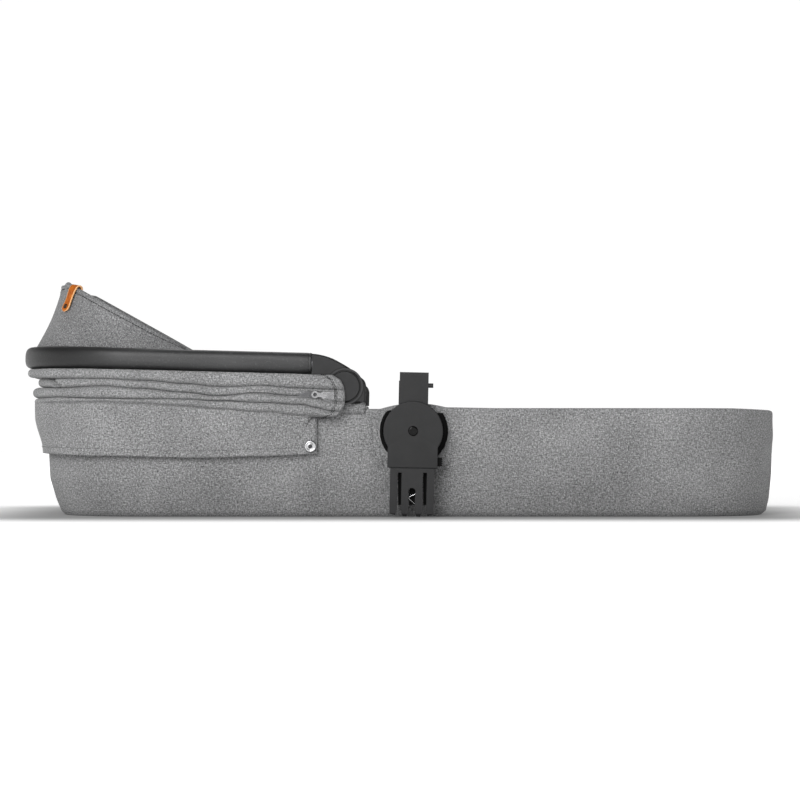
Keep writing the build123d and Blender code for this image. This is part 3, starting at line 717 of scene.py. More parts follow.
def tubCover():
    lip = [(20.0, -2.5), (20.0, -0.6), (19.2, 0.0), (14.0, 0.2), (8.0, 0.25), (3.6, 0.1), (1.4, -0.7),
           (0.4, -2.2)]
    profile = [(z + tub["rim"], inset) for inset, z in lip]
    z = tub["rim"] - 4.0
    while z > 40:
        profile.append((z, 0.0))
        z -= 2.0
    profile += [(z, 0.0) for z in (38, 35, 32, 28, 24, 20, 16.5, 13, 10, 7.5, 5.2, 3.4, 2.0, 0.9)]
    profile += [(0.25, 1.2), (0.0, 3.0), (0.0, 12.0), (0.0, 40.0), (0.0, 80.0), (0.0, 120.0), (0.0, 160.0),
                (0.0, 172.0)]
    opening = holeOutline(0.0)
    grid, inside = [], {}
    for z, inset in profile:
        row = []
        for x, y, nx, ny in tubRing(z, inset):
            high = z + rimLift(x, y) * smooth(88, 121, z)
            wave = tubWave(x, y, z) if 2 < z < 121 and inset == 0 else 0.0
            place = [x + nx * wave, y + ny * wave, high]
            if abs(y) > 180 and 50 < high < 127 and abs(x - hub["holeX"]) < 46 and inset < 2:
                gap, px, pz = nearestOn(opening, x, high)
                if gap < 1.15:
                    place[0], place[2] = px, pz
            row.append(place)
        grid.append(row)

    def keep(corners):
        x = sum(p[0] for p in corners) / 4
        y = sum(p[1] for p in corners) / 4
        z = sum(p[2] for p in corners) / 4
        if abs(y) < 180 or z < 40:
            return True
        return math.hypot(x - hub["holeX"], z - hub["z"]) > hub["hole"] - 0.3 or z > holeLimit(x) - 0.3

    piece = gridPiece("tubCover", grid, cloth, wrapU=True, flip=True, keep=keep, across=20)
    closeFloor(piece, 0.0005)
    return tidyMesh(piece, outwards=False)


cover = tubCover()
settle(cover, "cot", "cot_fabric", "outer_cover")
hems = []
for sign in (-1, 1):
    path = [(x, sign * 199.0, z) for x, z in holeOutline(0.2)]
    hems.append(tubeAlong("hem", path, 1.6, cloth, closed=True, sides=8))
hubHems = joinPieces("hubHems", hems)
settle(hubHems, "cot", "cot_fabric")


def wallPoint(x, z, sign, out):
    half = tubSize(z, 0.0)[2]
    return (x, sign * (half + tubWave(x, sign * half, z) + out), z)


seamPaths = [([wallPoint(x, z, sign, 0.3) for x, z in seamOutline()], False) for sign in (-1, 1)]
hubSeam = stitchRow("hubSeam", seamPaths)
settle(hubSeam, "cot", "cot_fabric")
print("tub cover ready")


# lining and mattress
lining = {"quilt": 74.0, "puff": 1.6, "thick": 1.2}


def cotLining():
    profile = [(120.6, 19.2), (120.2, 20.8), (118.0, 21.4)]
    profile += [(z, 21.6) for z in range(114, 20, -4)]
    profile += [(18.0, 22.4), (14.5, 25.0), (13.2, 30.0), (13.0, 60.0), (13.0, 110.0), (13.0, 150.0)]
    grid = []
    for z, inset in profile:
        row = []
        loop = tubRing(z, inset)
        run = 0.0
        for k, (x, y, nx, ny) in enumerate(loop):
            if k:
                run += math.hypot(x - loop[k - 1][0], y - loop[k - 1][1])
            a = (run + z) / lining["quilt"] % 1.0
            b = (run - z) / lining["quilt"] % 1.0
            puff = (math.sin(math.pi * a) * math.sin(math.pi * b)) ** 0.5 if 20 < z < 116 else 0.6
            dip = lining["puff"] * puff
            row.append((x - nx * dip, y - ny * dip, z))
        grid.append(row)
    piece = gridPiece("cotLining", grid, liningCloth, wrapU=True, across=10)
    closeFloor(piece, 0.0135)
    return thicken(piece, lining["thick"])


inner = cotLining()
settle(inner, "cot", "lining_fabric", "liner")

pad = {"head": -372.0, "foot": 402.0, "half": 161.5, "corner": 84.0, "bottom": 14.0, "thick": 26.0,
       "swell": 5.0, "channel": 64.5}


def padRing(inset, z):
    head, foot = pad["head"] + inset, pad["foot"] - inset
    half, corner = pad["half"] - inset, max(pad["corner"] - inset, 3.0)
    loop = []
    for cx, cy, first in ((foot - corner, -half + corner, -90), (foot - corner, half - corner, 0),
                          (head + corner, half - corner, 90), (head + corner, -half + corner, 180)):
        for k in range(17):
            a = math.radians(first + 90 * k / 16)
            loop.append((cx + corner * math.cos(a), cy + corner * math.sin(a), z))
    return loop


def mattressPad():
    low, high = pad["bottom"], pad["bottom"] + pad["thick"]
    profile = [(60, low), (8, low), (2.5, low + 1), (0, low + 5)]
    profile += [(0, high - 5), (2.5, high - 1), (8, high), (60, high)]
    grid = [padRing(inset, z) for inset, z in profile]
    piece = capHoles(gridPiece("mattressPad", grid, jersey, wrapU=True))
    remesh = piece.modifiers.new("voxels", "REMESH")
    remesh.mode = "VOXEL"
    remesh.voxel_size = 0.0075
    applied(piece)
    start = [v.co.copy() for v in piece.data.vertices]
    swell = piece.modifiers.new("swell", "CLOTH")
    swell.settings.use_pressure = True
    swell.settings.uniform_pressure_force = 2.5
    swell.settings.effector_weights.gravity = 0
    swell.settings.quality = 5
    scene.frame_start, scene.frame_end = 1, 14
    for step in range(1, 15):
        scene.frame_set(step)
    applied(piece)
    scene.frame_set(1)
    for v, old in zip(piece.data.vertices, start):
        move = v.co - old
        most = pad["swell"] * 0.001
        if move.length > most:
            move = move * (most / move.length)
        place = old + move
        place.z = max(place.z, 0.0135)
        if old.z > 0.025:  # sewn channels across the top
            channel = abs(((place.x * 1000 + 12) / pad["channel"] + 0.5) % 1.0 - 0.5) * pad["channel"]
            place.z -= 0.0022 * (1 - smooth(0, 9, channel)) * smooth(159, 146, abs(place.y * 1000))
        place.z = min(place.z, 0.0435)
        v.co = place
    finer = piece.modifiers.new("finer", "SUBSURF")
    finer.levels = finer.render_levels = 1
    applied(piece)
    boxMap(piece)
    piece.data.materials.clear()
    piece.data.materials.append(jersey)
    piece.data.polygons.foreach_set("use_smooth", [True] * len(piece.data.polygons))
    return piece


def boxMap(piece):
    mesh = piece.data
    layer = mesh.uv_layers.get("weave") or mesh.uv_layers.new(name="weave")
    for face in mesh.polygons:
        n = face.normal
        for loop in face.loop_indices:
            p = mesh.vertices[mesh.loops[loop].vertex_index].co
            if abs(n.z) >= max(abs(n.x), abs(n.y)):
                layer.data[loop].uv = (p.x, p.y)
            elif abs(n.y) >= abs(n.x):
                layer.data[loop].uv = (p.x, p.z)
            else:
                layer.data[loop].uv = (p.y, p.z)


mattress = mattressPad()
settle(mattress, "mattress", "mattress_fabric", "mattress")
piping = tubeAlong("mattressPiping", padRing(-1.2, 36.5), 1.7, jersey, closed=True, sides=8)
settle(piping, "mattress", "mattress_fabric")
print("lining and mattress ready")


# folded canopy
stack = {
    "half": 200.0, "front": -418.0, "corner": 120.0, "end": -61.4,
    # height of each fold line by place along the cot, from the head end to the pivot
    "line1": [(-430, 160.2), (-380, 157.4), (-335, 156.4), (-290, 154.4), (-245, 151.0), (-201, 147.2),
              (-156, 148.2), (-111, 145.4), (-62, 143.8)],
    "line2": [(-430, 148.6), (-380, 146.4), (-335, 148.3), (-290, 145.2), (-245, 140.8), (-205, 136.6),
              (-160, 140.2), (-125, 137.4), (-95, 134.0), (-78, 130.8), (-62, 129.5)],
    "line3": [(-430, 135.6), (-380, 135.6), (-335, 133.8), (-290, 133.1), (-245, 133.4), (-201, 131.8),
              (-156, 129.2), (-110, 127.2), (-92, 123.6), (-75, 119.6), (-62, 118.8)],
    "line4": [(-430, 127.4), (-380, 130.6), (-335, 131.0), (-290, 129.0), (-245, 126.2), (-201, 121.6),
              (-156, 118.6), (-111, 115.0), (-62, 113.2)],
    # how the bound end curves, place along the cot by height
    "endCurve": [(112.0, -78.0), (112.6, -75.2), (115.6, -68.2), (121.4, -64.6), (127.0, -62.1), (136.4, -61.4),
                 (144.9, -62.5), (153.6, -66.1), (159.6, -74.6), (162.0, -86.0)],
    "binding": 9.4,
    "zipLips": 3.6,
}
sleeveLine = {"x": -99.4, "z": 173.6, "rise": 0.0262, "radius": 12.0}
sleeveTilt = math.atan(sleeveLine["rise"])
sleeveUp = Vector((math.sin(sleeveTilt), 0, math.cos(sleeveTilt)))


def sleevePoint(run, y, over):  # a place this far along the handle and this far over its middle line
    return Vector((sleeveLine["x"] - run * math.cos(sleeveTilt), y,
                   sleeveLine["z"] + run * math.sin(sleeveTilt) + over))


def sleeveBottom(x):
    return sleeveLine["z"] + sleeveLine["rise"] * (sleeveLine["x"] - x) - sleeveLine["radius"] - 0.3


def stackPath():
    # (run from the nearer end, x, y, outward x, outward y) along the right arm, round the head end, to the left
    runs = [0.0, 0.7, 1.6, 3.4, 5.6, 7.8, 9.0, 9.5, 10.1, 11.4, 14.0]
    while runs[-1] < 1004.0:
        runs.append(runs[-1] + 4.6)
    arm = stack["end"] - (stack["front"] + stack["corner"])
    arc = stack["corner"] * math.pi / 2
    flat = 2 * (stack["half"] - stack["corner"])
    total = 2 * arm + 2 * arc + flat
    middle = [r for r in runs if r < total / 2 - 2.0]
    runs = middle + [total / 2] + [total - r for r in middle[::-1]]
    found = []
    for run in runs:
        mirrored = run > total / 2
        r = total - run if mirrored else run
        if r < arm:
            place = (stack["end"] - r, -stack["half"], 0.0, -1.0)
        elif r < arm + arc:
            a = math.radians(270) - (r - arm) / stack["corner"]
            place = (stack["front"] + stack["corner"] + stack["corner"] * math.cos(a),
                     -stack["half"] + stack["corner"] + stack["corner"] * math.sin(a), math.cos(a), math.sin(a))
        else:
            place = (stack["front"], -stack["half"] + stack["corner"] + (r - arm - arc), -1.0, 0.0)
        x, y, nx, ny = place
        if mirrored:
            y, ny = -y, -ny
        found.append((r, x, y, nx, ny))
    return found


def foldOffset(x, side, front):  # a value for the straight arms that changes to another round the head end
    return side + (front - side) * smooth(-372, -416, x)


zipper = {"x": -73.0, "z": 137.0, "rise": 0.05, "face": -211.9}


def endLift(x):  # the folds stand proud where they pass in front of the handle's pivot
    return 5.6 * smooth(-122, -94, x)


folds = {
    # crest on the arms, crest at the head end, upper and lower valley, as distances out from the stack's line
    "one": (12.6, 17.2, 8.6, 5.6),
    "two": (11.2, 4.6, 5.6, 4.6),
    "three": (12.2, 11.4, 4.6, 4.8),
    "four": (11.0, 9.6, 4.8, 4.6),
}


def lobe(x, y, top, bottom, fold, count, seed):
    crestSide, crestFront, valleyTop, valleyBottom = folds[fold]
    crest = foldOffset(x, crestSide, crestFront) + endLift(x) + 1.0 * wander(x, y, seed * 40, 48)
    deep = min(8.0, max(3.0, (top - bottom) * 0.62))
    rows = []
    for k in range(count + 1):
        t = 0.5 - 0.5 * math.cos(math.pi * k / count)
        swell = (1 - abs(2 * t - 1) ** 2.4) ** 0.55
        high = max(crest - (crestSide - valleyTop), crest - deep)
        low = max(crest - (crestSide - valleyBottom), crest - deep)
        edge = high + (low - high) * t
        out = edge + (crest - edge) * swell
        z = top + (bottom - top) * t
        rows.append((out, z + 0.25 * wander(x, y, z * 3 + seed * 9, 24)))
    return rows


def stackStrip(name, makeOuter, innerOffset, innerRows=6):
    columns, rows = [], []
    for run, x, y, nx, ny in stackPath():
        outer = makeOuter(x, y)
        top, bottom = outer[0], outer[-1]
        bind = 1.9 * (1 - smooth(stack["binding"] - 0.3, stack["binding"] + 0.7, run))
        outer = [(out + bind * smooth(0, 1.5, run), z) for out, z in outer]
        back = innerOffset(x)
        inside = [(back + (top[0] - back) * f, bottom[1] + 0.02) for f in (0.6, 0.25)]
        for k in range(innerRows + 1):
            inside.append((back, bottom[1] + (top[1] - bottom[1]) * k / innerRows))
        inside += [(back + (top[0] - back) * f, top[1] - 0.02) for f in (0.25, 0.6)]
        profile = outer + inside
        column = []
        for out, z in profile:
            shift = (along(stack["endCurve"], z) - stack["end"]) * (1 - smooth(0, 70, run))
            ease = 1.0 if run > 1.6 else 0.5 + 0.5 * smooth(0, 1.6, run)
            middle = (outer[len(outer) // 2][0] + back) / 2
            out = middle + (out - middle) * ease
            column.append((x + shift + nx * out, y + ny * out, z))
        columns.append(column)
        if abs(run - 9.0) < 0.1:
            for beside in (0.2, 2.3):
                rows.append(([(px - beside, py + ny * 0.3, pz) for px, py, pz in column[:len(outer)]], False))
    grid = [[column[j] for column in columns] for j in range(len(columns[0]))]
    piece = capHoles(gridPiece(name, grid, cloth, wrapV=True, across=8))
    return piece, stitchRow(name + "Stitches", rows, 2.2, 0.75, 0.7, darkThreadTree)


def innerFace(x):
    return -21.5 + 33.6 * smooth(-103, -86, x)


def lowInnerFace(x):
    return 1.4 + 4.2 * smooth(-104, -90, x)


def lineAt(name, x, y):
    return along(stack[name], x) + 0.35 * wander(x, y, 5 if name == "line1" else 11, 30)


def topFold(x, y):
    return lobe(x, y, sleeveBottom(x), lineAt("line1", x, y), "one", 26, 1)


def zipLine(x):
    return zipper["z"] + zipper["rise"] * (zipper["x"] - x)


def middleFolds(x, y):
    upper = lobe(x, y, lineAt("line1", x, y), lineAt("line2", x, y), "two", 34, 2)
    lower = lobe(x, y, lineAt("line2", x, y), lineAt("line3", x, y), "three", 18, 3)
    if y > 0:
        return upper + lower[1:]
    opened = smooth(-112, -101, x) * (1 - smooth(-72.5, -70.5, x))
    lips = stack["zipLips"] * (0.15 + 0.85 * smooth(-190, -108, x))
    crease = smooth(-205, -150, x) * (1 - smooth(-74, -71, x))
    shaped = []
    for out, z in upper + lower[1:]:
        off = abs(z - zipLine(x))
        out -= opened * 4.9 * (1 - smooth(3.3, 4.5, off))
        out -= crease * (1 - opened) * 1.7 * math.exp(-((off - lips) / 0.8) ** 2)
        if x > -110:
            out = max(out, innerFace(x) + 0.4)
        shaped.append((out, z))
    return shaped


def headPocket(x, y, rows):  # a small open tuck near the head end of the second fold
    deep = smooth(-398, -393, x) * (1 - smooth(-386, -380, x)) if abs(y) > 130 else 0.0
    shaped = []
    for out, z in rows:
        middle = 156.4 - 0.85 * (x + 393)
        shaped.append((out - 11.0 * deep * (1 - smooth(1.5, 3.4, abs(z - middle))), z))
    return shaped


def bottomFold(x, y):
    base = lineAt("line4", x, y)
    rows = lobe(x, y, lineAt("line3", x, y), base, "four", 14, 4)
    low = 2.4
    hang = 0.08 + 0.92 * smooth(-92, -97, x)  # only behind the skirt does the lining run on down
    return rows + [(rows[-1][0] - 0.4, base - 0.6), (low, base - 0.7 - 2.3 * hang),
                   (low - 0.6 * hang, base - 0.8 - 7.2 * hang), (low - 1.4 * hang, base - 0.9 - 12.1 * hang)]


stripTop, topStitches = stackStrip("canopyTopFold", topFold, innerFace)
stripMiddle, middleStitches = stackStrip("canopyMiddleFolds",
                                         lambda x, y: headPocket(x, y, middleFolds(x, y)), innerFace)
stripBottom, bottomStitches = stackStrip("canopyBottomFold", bottomFold, lowInnerFace, 4)


def levelPoint(height):  # where a plane at this height beside the pivot crosses the middle of the frame
    return (0.0, 0.0, (height - foldTilt["rise"] * foldTilt["x"]) / 1000)


def levelBlend(piece, start, end):
    first = Vector(levelPoint(start))
    normal = Vector((foldTilt["rise"], 0, 1))
    drop = (end - start) / 1000
    step = normal * (drop / normal.length_squared)
    tuple(first + step)
    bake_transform(piece)


for piece, stitches, node, upper, lower, start, end in (
        (stripTop, topStitches, "canopy_fold_upper", "handle", "canopy_middle", 155.2, 147.6),
        (stripMiddle, middleStitches, "canopy_fold_middle", "canopy_middle", "canopy_rear", 141.4, 138.2),
        (stripBottom, bottomStitches, "canopy_fold_lower", "canopy_rear", "cot", 122.4, 106.0)):
    for part in (piece, stitches):
        levelBlend(part, start, end)
    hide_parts(node)
print("canopy folds ready")


# skirt
skirt = {"edge": -90.5, "hem": 9.0, "thick": 1.6, "thread": 0.75}
skirtBottom = [(-430, 73.0), (-400, 71.0), (-330, 69.2), (-223, 67.1), (-150, 69.2), (-90, 71.6)]


def skirtTop(x):
    return along(stack["line4"], x) + 1.5


def skirtWave(x, y, z):
    return 0.9 * wander(x, y, z * 0.5, 70)


def skirtOut(x, t):  # distance out from the stack's line, t runs from 0 at the top to 1 at the hem
    side = 4.6 + 0.9 * t + 0.8 * math.sin(3.1 * t)
    front = 9.4 - 1.2 * t - 8.8 * smooth(0.25, 1.0, t)
    return foldOffset(x, side, front)


def canopySkirt():
    columns = []
    path = [p for p in stackPath() if p[1] <= skirt["edge"]]
    rows = 30
    for run, x, y, nx, ny in path:
        top = skirtTop(x)
        bottom = along(skirtBottom, x)
        column = []
        for k in range(rows + 1):
            t = k / rows
            z = top + (bottom - top) * t
            out = skirtOut(x, t) + skirtWave(x, y, z) * smooth(0, 0.3, t)
            fromEdge = skirt["edge"] - x if ny and abs(y) > 199 else 99
            if (1 - t) * (top - bottom) < skirt["hem"] or fromEdge < 5.5:
                out += 0.55
            column.append((x + nx * out, y + ny * out, z))
        columns.append(column)
    rowsOut = [[columns[i][j] for i in range(len(columns))] for j in range(rows + 1)]
    piece = gridPiece("canopySkirt", rowsOut, cloth, across=15)
    tidyMesh(piece, outwards=False)
    return thicken(piece, skirt["thick"], offset=-1.0)


def skirtStitches():
    hemPath, paths = [], []
    for run, x, y, nx, ny in stackPath():
        if x > skirt["edge"] - 5.5:
            continue
        z = along(skirtBottom, x) + skirt["hem"] - 1.2
        top = skirtTop(x)
        t = 1 - (skirt["hem"] - 1.2) / (top - along(skirtBottom, x))
        out = skirtOut(x, t) + skirtWave(x, y, z) + skirt["thread"]
        hemPath.append((x + nx * out, y + ny * out, z))
    paths.append((hemPath, False))
    for sign in (-1, 1):
        x = skirt["edge"] - 4.6
        paths.append(([(x, sign * (stack["half"] + skirtOut(x, t) + skirt["thread"]), 113 - 42 * t) for t in
                       [k / 20 for k in range(21)]], False))
    return stitchRow("skirtStitches", paths)


skirtPiece = canopySkirt()
settle(skirtPiece, "cot", "cot_fabric", "canopy_skirt")
hemStitches = skirtStitches()
settle(hemStitches, "cot", "cot_fabric")
snapPlace = (-100.9, 207.0, 79.8)
snapRing = [(2.1, -0.5), (2.2, 0.7), (2.7, 1.1), (3.3, 0.75), (3.7, 0.55), (4.2, 0.8), (5.1, 1.25), (6.0, 1.1),
            (6.6, 0.6), (6.9, 0.0), (6.7, -0.5)]
snapCore = [(0.0, 0.55), (0.7, 0.5), (1.0, 0.15), (1.6, 0.1), (2.1, 0.4), (2.15, -0.3)]
snapKit = (("skirtSnapRings", snapRing, snapMetal, "snap_steel", ["skirt_snaps"]),
           ("skirtSnapCores", snapCore, coreMetal, "dark_rivet", []))
for name, profile, finish, slot, stands in snapKit:
    x, y, z = snapPlace
    snaps = [lathePiece("snap", profile, (x, sign * y, z), (0, sign, 0), finish) for sign in (-1, 1)]
    settle(joinPieces(name, snaps), "cot", slot, *stands)
print("skirt ready")


# cloth round the pivot brackets
def bracketSleeve(sign):
    # a soft box round the bracket, open at the bottom where it is sewn into the rim
    x0, x1, y0, y1 = -84.0, -38.6, 184.0, 203.7
    grid = []
    for z, grow in ((117.0, -0.6), (122.0, 0.0), (126.0, 0.0), (128.8, -0.3), (130.0, -1.6), (130.2, -4.0)):
        ring = []
        for cx, cy, first in ((x1 - 4, y0 + 4, -90), (x1 - 4, y1 - 4, 0), (x0 + 4, y1 - 4, 90),
                              (x0 + 4, y0 + 4, 180)):
            for k in range(5):
                a = math.radians(first + 90 * k / 4)
                ring.append((cx + (4 + grow) * math.cos(a), sign * (cy + (4 + grow) * math.sin(a)), z))
        grid.append(ring)
    return capHoles(gridPiece("bracketSleeve", grid, cloth, wrapU=True, flip=sign < 0))


sleeves = joinPieces("bracketSleeves", [bracketSleeve(-1), bracketSleeve(1)])
settle(sleeves, "cot", "cot_fabric")


# visor
visor = {"x": -217.0, "z": 174.2, "angle": 29.1, "reach": 204.0, "half": 176.0, "bend": 105.0, "droop": 7.0,
         "hem": 2.5, "thick": 1.8, "sag": 3.0, "turnZ": 177.0, "foot": 10.6}


def bendPath(reach, half, bend, start, straight=16, turn=22, front=16):
    # (distance from the pivot line, y, outward along, outward y)
    found = []
    for k in range(straight):
        found.append((start + (reach - bend - start) * k / straight, -half, 0.0, -1.0))
    for k in range(turn):
        a = math.radians(90 * k / turn)
        found.append((reach - bend + bend * math.sin(a), -half + bend - bend * math.cos(a),
                      math.sin(a), -math.cos(a)))
    for k in range(front):
        found.append((reach, -half + bend + 2 * (half - bend) * k / front, 1.0, 0.0))
    for k in range(turn):
        a = math.radians(90 * k / turn)
        found.append((reach - bend + bend * math.cos(a), half - bend + bend * math.sin(a),
                      math.cos(a), math.sin(a)))
    for k in range(straight + 1):
        found.append((reach - bend + (start - reach + bend) * k / straight, half, 0.0, 1.0))
    return found


def visorFrames():
    angle = math.radians(visor["angle"])
    tops = bendPath(visor["reach"], visor["half"], visor["bend"], 16.0)
    baseReach = (sleeveLine["x"] + 437.5 - 12.0) + 1.8
    bases = bendPath(baseReach, 190.5, 119.0, 117.6 + 8)
    frames = []
    for (u, y, ux, uy), (w, by, wx, wy) in zip(tops, bases):
        droop = visor["droop"] * smooth(186, 203, u)
        top = Vector((visor["x"] - u * math.cos(angle), y, visor["z"] + u * math.sin(angle) - droop))
        down = sleevePoint(w, by, visor["foot"]) - top
        length = down.length
        down.normalize()
        outward = Vector((-wx, wy, 0.0))
        outward = (outward - down * outward.dot(down)).normalized()
        frames.append((top, down, outward, length))
    return frames


def visorFabric():
    frames = visorFrames()
    columns, seam, innerSeam = [], [], []
    half = visor["thick"] / 2
    for index, (top, down, outward, length) in enumerate(frames):
        column = []
        knot = abs(index - 31)
        r = visor["hem"] * (1 + 0.8 * math.exp(-(knot / 0.7) ** 2))
        size = min(1.0, length / 14)

        def sagAt(f):
            return visor["sag"] * math.sin(math.pi * f) * smooth(20, 60, length)

        for k in range(9):  # over the wire, from the inside to the outside
            a = math.radians(-30 + 240 * k / 8)
            column.append(top - down * r * math.sin(a) * size - outward * r * math.cos(a) * size)
        for f in (0.012, 0.03, 0.05, 0.075, 0.11, 0.16, 0.22, 0.29, 0.36, 0.44, 0.52, 0.6, 0.68, 0.76, 0.84,
                  0.92, 1.0):
            d = r + (length - r) * f
            hem = 0.7 * math.exp(-((d - 6.2) / 1.6) ** 2)
            fine = 0.5 * wander(top.x, top.y, d * 1.3, 34) * smooth(0, 0.2, f)
            column.append(top + down * d + outward * (half - sagAt(f) + hem + fine) * size)
        for k in range(12, 0, -1):
            f = k / 12
            d = r + (length - r) * f
            column.append(top + down * d + outward * (-half - sagAt(f)) * size)
        columns.append([tuple(p) for p in column])
        seam.append(tuple(top + down * 3.7 + outward * (half + 0.35)))
    rows = len(columns[0])
    grid = [[columns[i][j] for i in range(len(columns))] for j in range(rows)]
    piece = capHoles(gridPiece("visorFabric", grid, visorShadedCloth, wrapV=True, across=14))
    return piece, seam[3:-3], frames


visorPiece, visorSeam, visorColumns = visorFabric()


def visorBlend(piece):
    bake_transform(piece)


visorBlend(visorPiece)
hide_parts("visor_fabric", "visor_bow")
visorStitches = stitchRow("visorStitches", [(visorSeam, False)], 3.4, 0.8, 0.5, darkThreadTree)
visorBlend(visorStitches)

tab = {"width": 13.0, "thick": 1.7, "place": 28, "length": 29.0, "rivet": 22.8, "lean": 0.17}


def tabStrap():
    frames = visorColumns
    top, down, outward, length = frames[tab["place"]]
    across = down.cross(outward).normalized()
    rough = [(15, -2.6), (9, -3.0), (3, -4.0), (-1.5, -3.9), (-3.6, -2.4), (-4.3, 0), (-3.5, 2.5), (-0.9, 4.1),
             (3.0, 4.3), (7.5, 3.7), (12.0, 2.9), (17.0, 2.2), (22.0, 1.8), (tab["length"], 1.5)]
    path = []
    for (a, b), (c, d) in zip(rough, rough[1:]):
        for k in range(3):
            path.append((a + (c - a) * k / 3, b + (d - b) * k / 3))
    path.append(rough[-1])
    grid = []
    for a, b in path:
        left = tab["length"] - a if b > 0 else 99
        back = 15 - a if b < 0 else 99
        gap = min(left, back)
        half = tab["width"] / 2 - 1.1 * smooth(1, 11, a) * smooth(26, 15, a)
        if gap < half:
            half = math.sqrt(max(half * half - (half - gap) ** 2, 0.3))
        lean = tab["lean"] * max(a, 0.0) * (1 if b > 0 else 0)
        spine = top + down * a + outward * b
        grid.append([tuple(spine + across * (lean + half * (2 * k / 8 - 1))) for k in range(9)])
    piece = gridPiece("tabStrap", grid, tabSkin)
    layer = piece.data.uv_layers["weave"]
    for face in piece.data.polygons:
        for loop in face.loop_indices:
            column = piece.data.loops[loop].vertex_index % 9
            layer.data[loop].uv = (column / 8, layer.data[loop].uv[1])
    solid = thicken(piece, tab["thick"], offset=0.0)
    rivetAt = top + down * tab["rivet"] + outward * 2.55 + across * (tab["lean"] * tab["rivet"])
    ring = [(0.9, 0.2), (1.1, -0.2), (1.3, 0.9), (1.9, 1.15), (2.5, 0.95), (2.9, 0.3), (2.7, -0.4)]
    rivet = lathePiece("tabRivetHead", ring, tuple(rivetAt), tuple(outward), rivetMetal, 28)
    return solid, rivet


strap, rivet = tabStrap()
for piece, node, slot in ((strap, "visor_tab", "tan_leather"), (rivet, "tab_rivet", "dark_rivet")):
    visorBlend(piece)
    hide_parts(node)
print("visor ready")


# zip
def zipPlace(run, up, out):
    return (zipper["x"] - run, zipper["face"] - out, zipper["z"] + run * zipper["rise"] + up)


def zipTape():
    grid = []
    for up, out in ((-4.6, -1.4), (-3.6, -0.5), (-1.9, 0.05), (0.0, 0.0), (1.9, 0.05), (3.6, -0.5), (4.6, -1.4)):
        grid.append([zipPlace(run, up, out) for run in range(2, 44, 3)])
    piece = gridPiece("zipTapeStrip", grid, zipTapeCloth, flip=True)
    return thicken(piece, 0.5)


tape = zipTape()
settle(tape, "canopy_rear", "zip_cloth", "zip_tape")
toothTree = rowTree("zipTeeth", {"Pitch": 0.0015}, toothPlastic, toothShape)
toothPath = [zipPlace(run, 0, 0.25) for run in range(12, 42, 2)]
teeth = stitchRow("zipTeethRow", [(toothPath, False)], tree=toothTree)
settle(teeth, "canopy_rear", "zip_teeth", "zip_chain")
print("zip ready")


# dark boxes behind the adapters' slots, as painted shade inside the slots
channel = {"offsets": (-14.2, 0.0, 14.2), "half": 2.6, "top": 50.4, "bottom": 14.0, "deep": 1.2, "reach": 211.2}


def slotShadeBox(side, offset):
    top = channel["top"] if offset else 33.0
    half = channel["half"] if offset else 4.2
    low, high = channel["reach"] - channel["deep"], channel["reach"]
    points = [(hub["x"] + offset + dx * half, side * y, z) for z in (channel["bottom"], top) for y in (low, high)
              for dx in (-1, 1)]
    faces = [[0, 1, 3, 2], [4, 6, 7, 5], [0, 2, 6, 4], [1, 5, 7, 3], [0, 4, 5, 1], [2, 3, 7, 6]]
    return tidyMesh(makeMesh("slotShadeBox", points, faces, hubPlastic))


for side, name in ((-1, "right"), (1, "left")):
    backs = joinPieces("slotBacks_" + name, [slotShadeBox(side, offset) for offset in channel["offsets"]])
    backs.data.polygons.foreach_set("use_smooth", [False] * len(backs.data.polygons))
    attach(backs, "adapter_" + name)
print("adapter slots ready")


# leather handle sleeve
grip = {"size": 12.0, "square": 3.2, "reach": 327.6, "half": 196.0, "bend": 125.0, "ring": 3.0}


def gripPath():
    path = bendPath(grip["reach"], grip["half"], grip["bend"], 9.0, 34, 26, 14)
    start = [(w, -grip["half"], 0.0, -1.0) for w in (0.2, 0.5, 1.3, 2.4, 2.9, 3.5, 5.0)]
    return start + path + [(w, grip["half"], 0.0, 1.0) for w, y, ux, uy in start[::-1]]


def handleGrip():
    grid, seam = [], []
    for w, y, ux, uy in gripPath():
        head = smooth(190, 315, w)
        centre = sleevePoint(w, y, 0.6 * head)
        outward = Vector((-ux * math.cos(sleeveTilt), uy, ux * math.sin(sleeveTilt)))
        size = grip["size"] - 0.45 * (1 - smooth(0.2, 1.2, w))
        size -= 0.35 * math.exp(-((w - grip["ring"]) / 0.45) ** 2)
        size += 0.12 * wander(w, y, 3, 30) + 0.7 * head
        ring = []
        for k in range(36):
            a = 2 * math.pi * k / 36
            c, d = math.cos(a), math.sin(a)
            scale = size / (abs(c) ** grip["square"] + abs(d) ** grip["square"]) ** (1 / grip["square"])
            ring.append(tuple(centre + outward * c * scale + sleeveUp * d * scale))
        grid.append(ring)
        seam.append(tuple(centre - outward * (size + 0.05) - sleeveUp * 2.0))
    piece = capHoles(gridPiece("handleGrip", grid, sleeveSkin, wrapU=True))
    return piece, stitchRow("gripStitches", [(seam[4:-4], False)], 3.2, 0.7, 1.6, darkThreadTree)


gripPiece, gripSeam = handleGrip()
settle(gripPiece, "handle", "handle_leather", "handle_sleeve")
settle(gripSeam, "handle", "handle_leather")
print("handle ready")


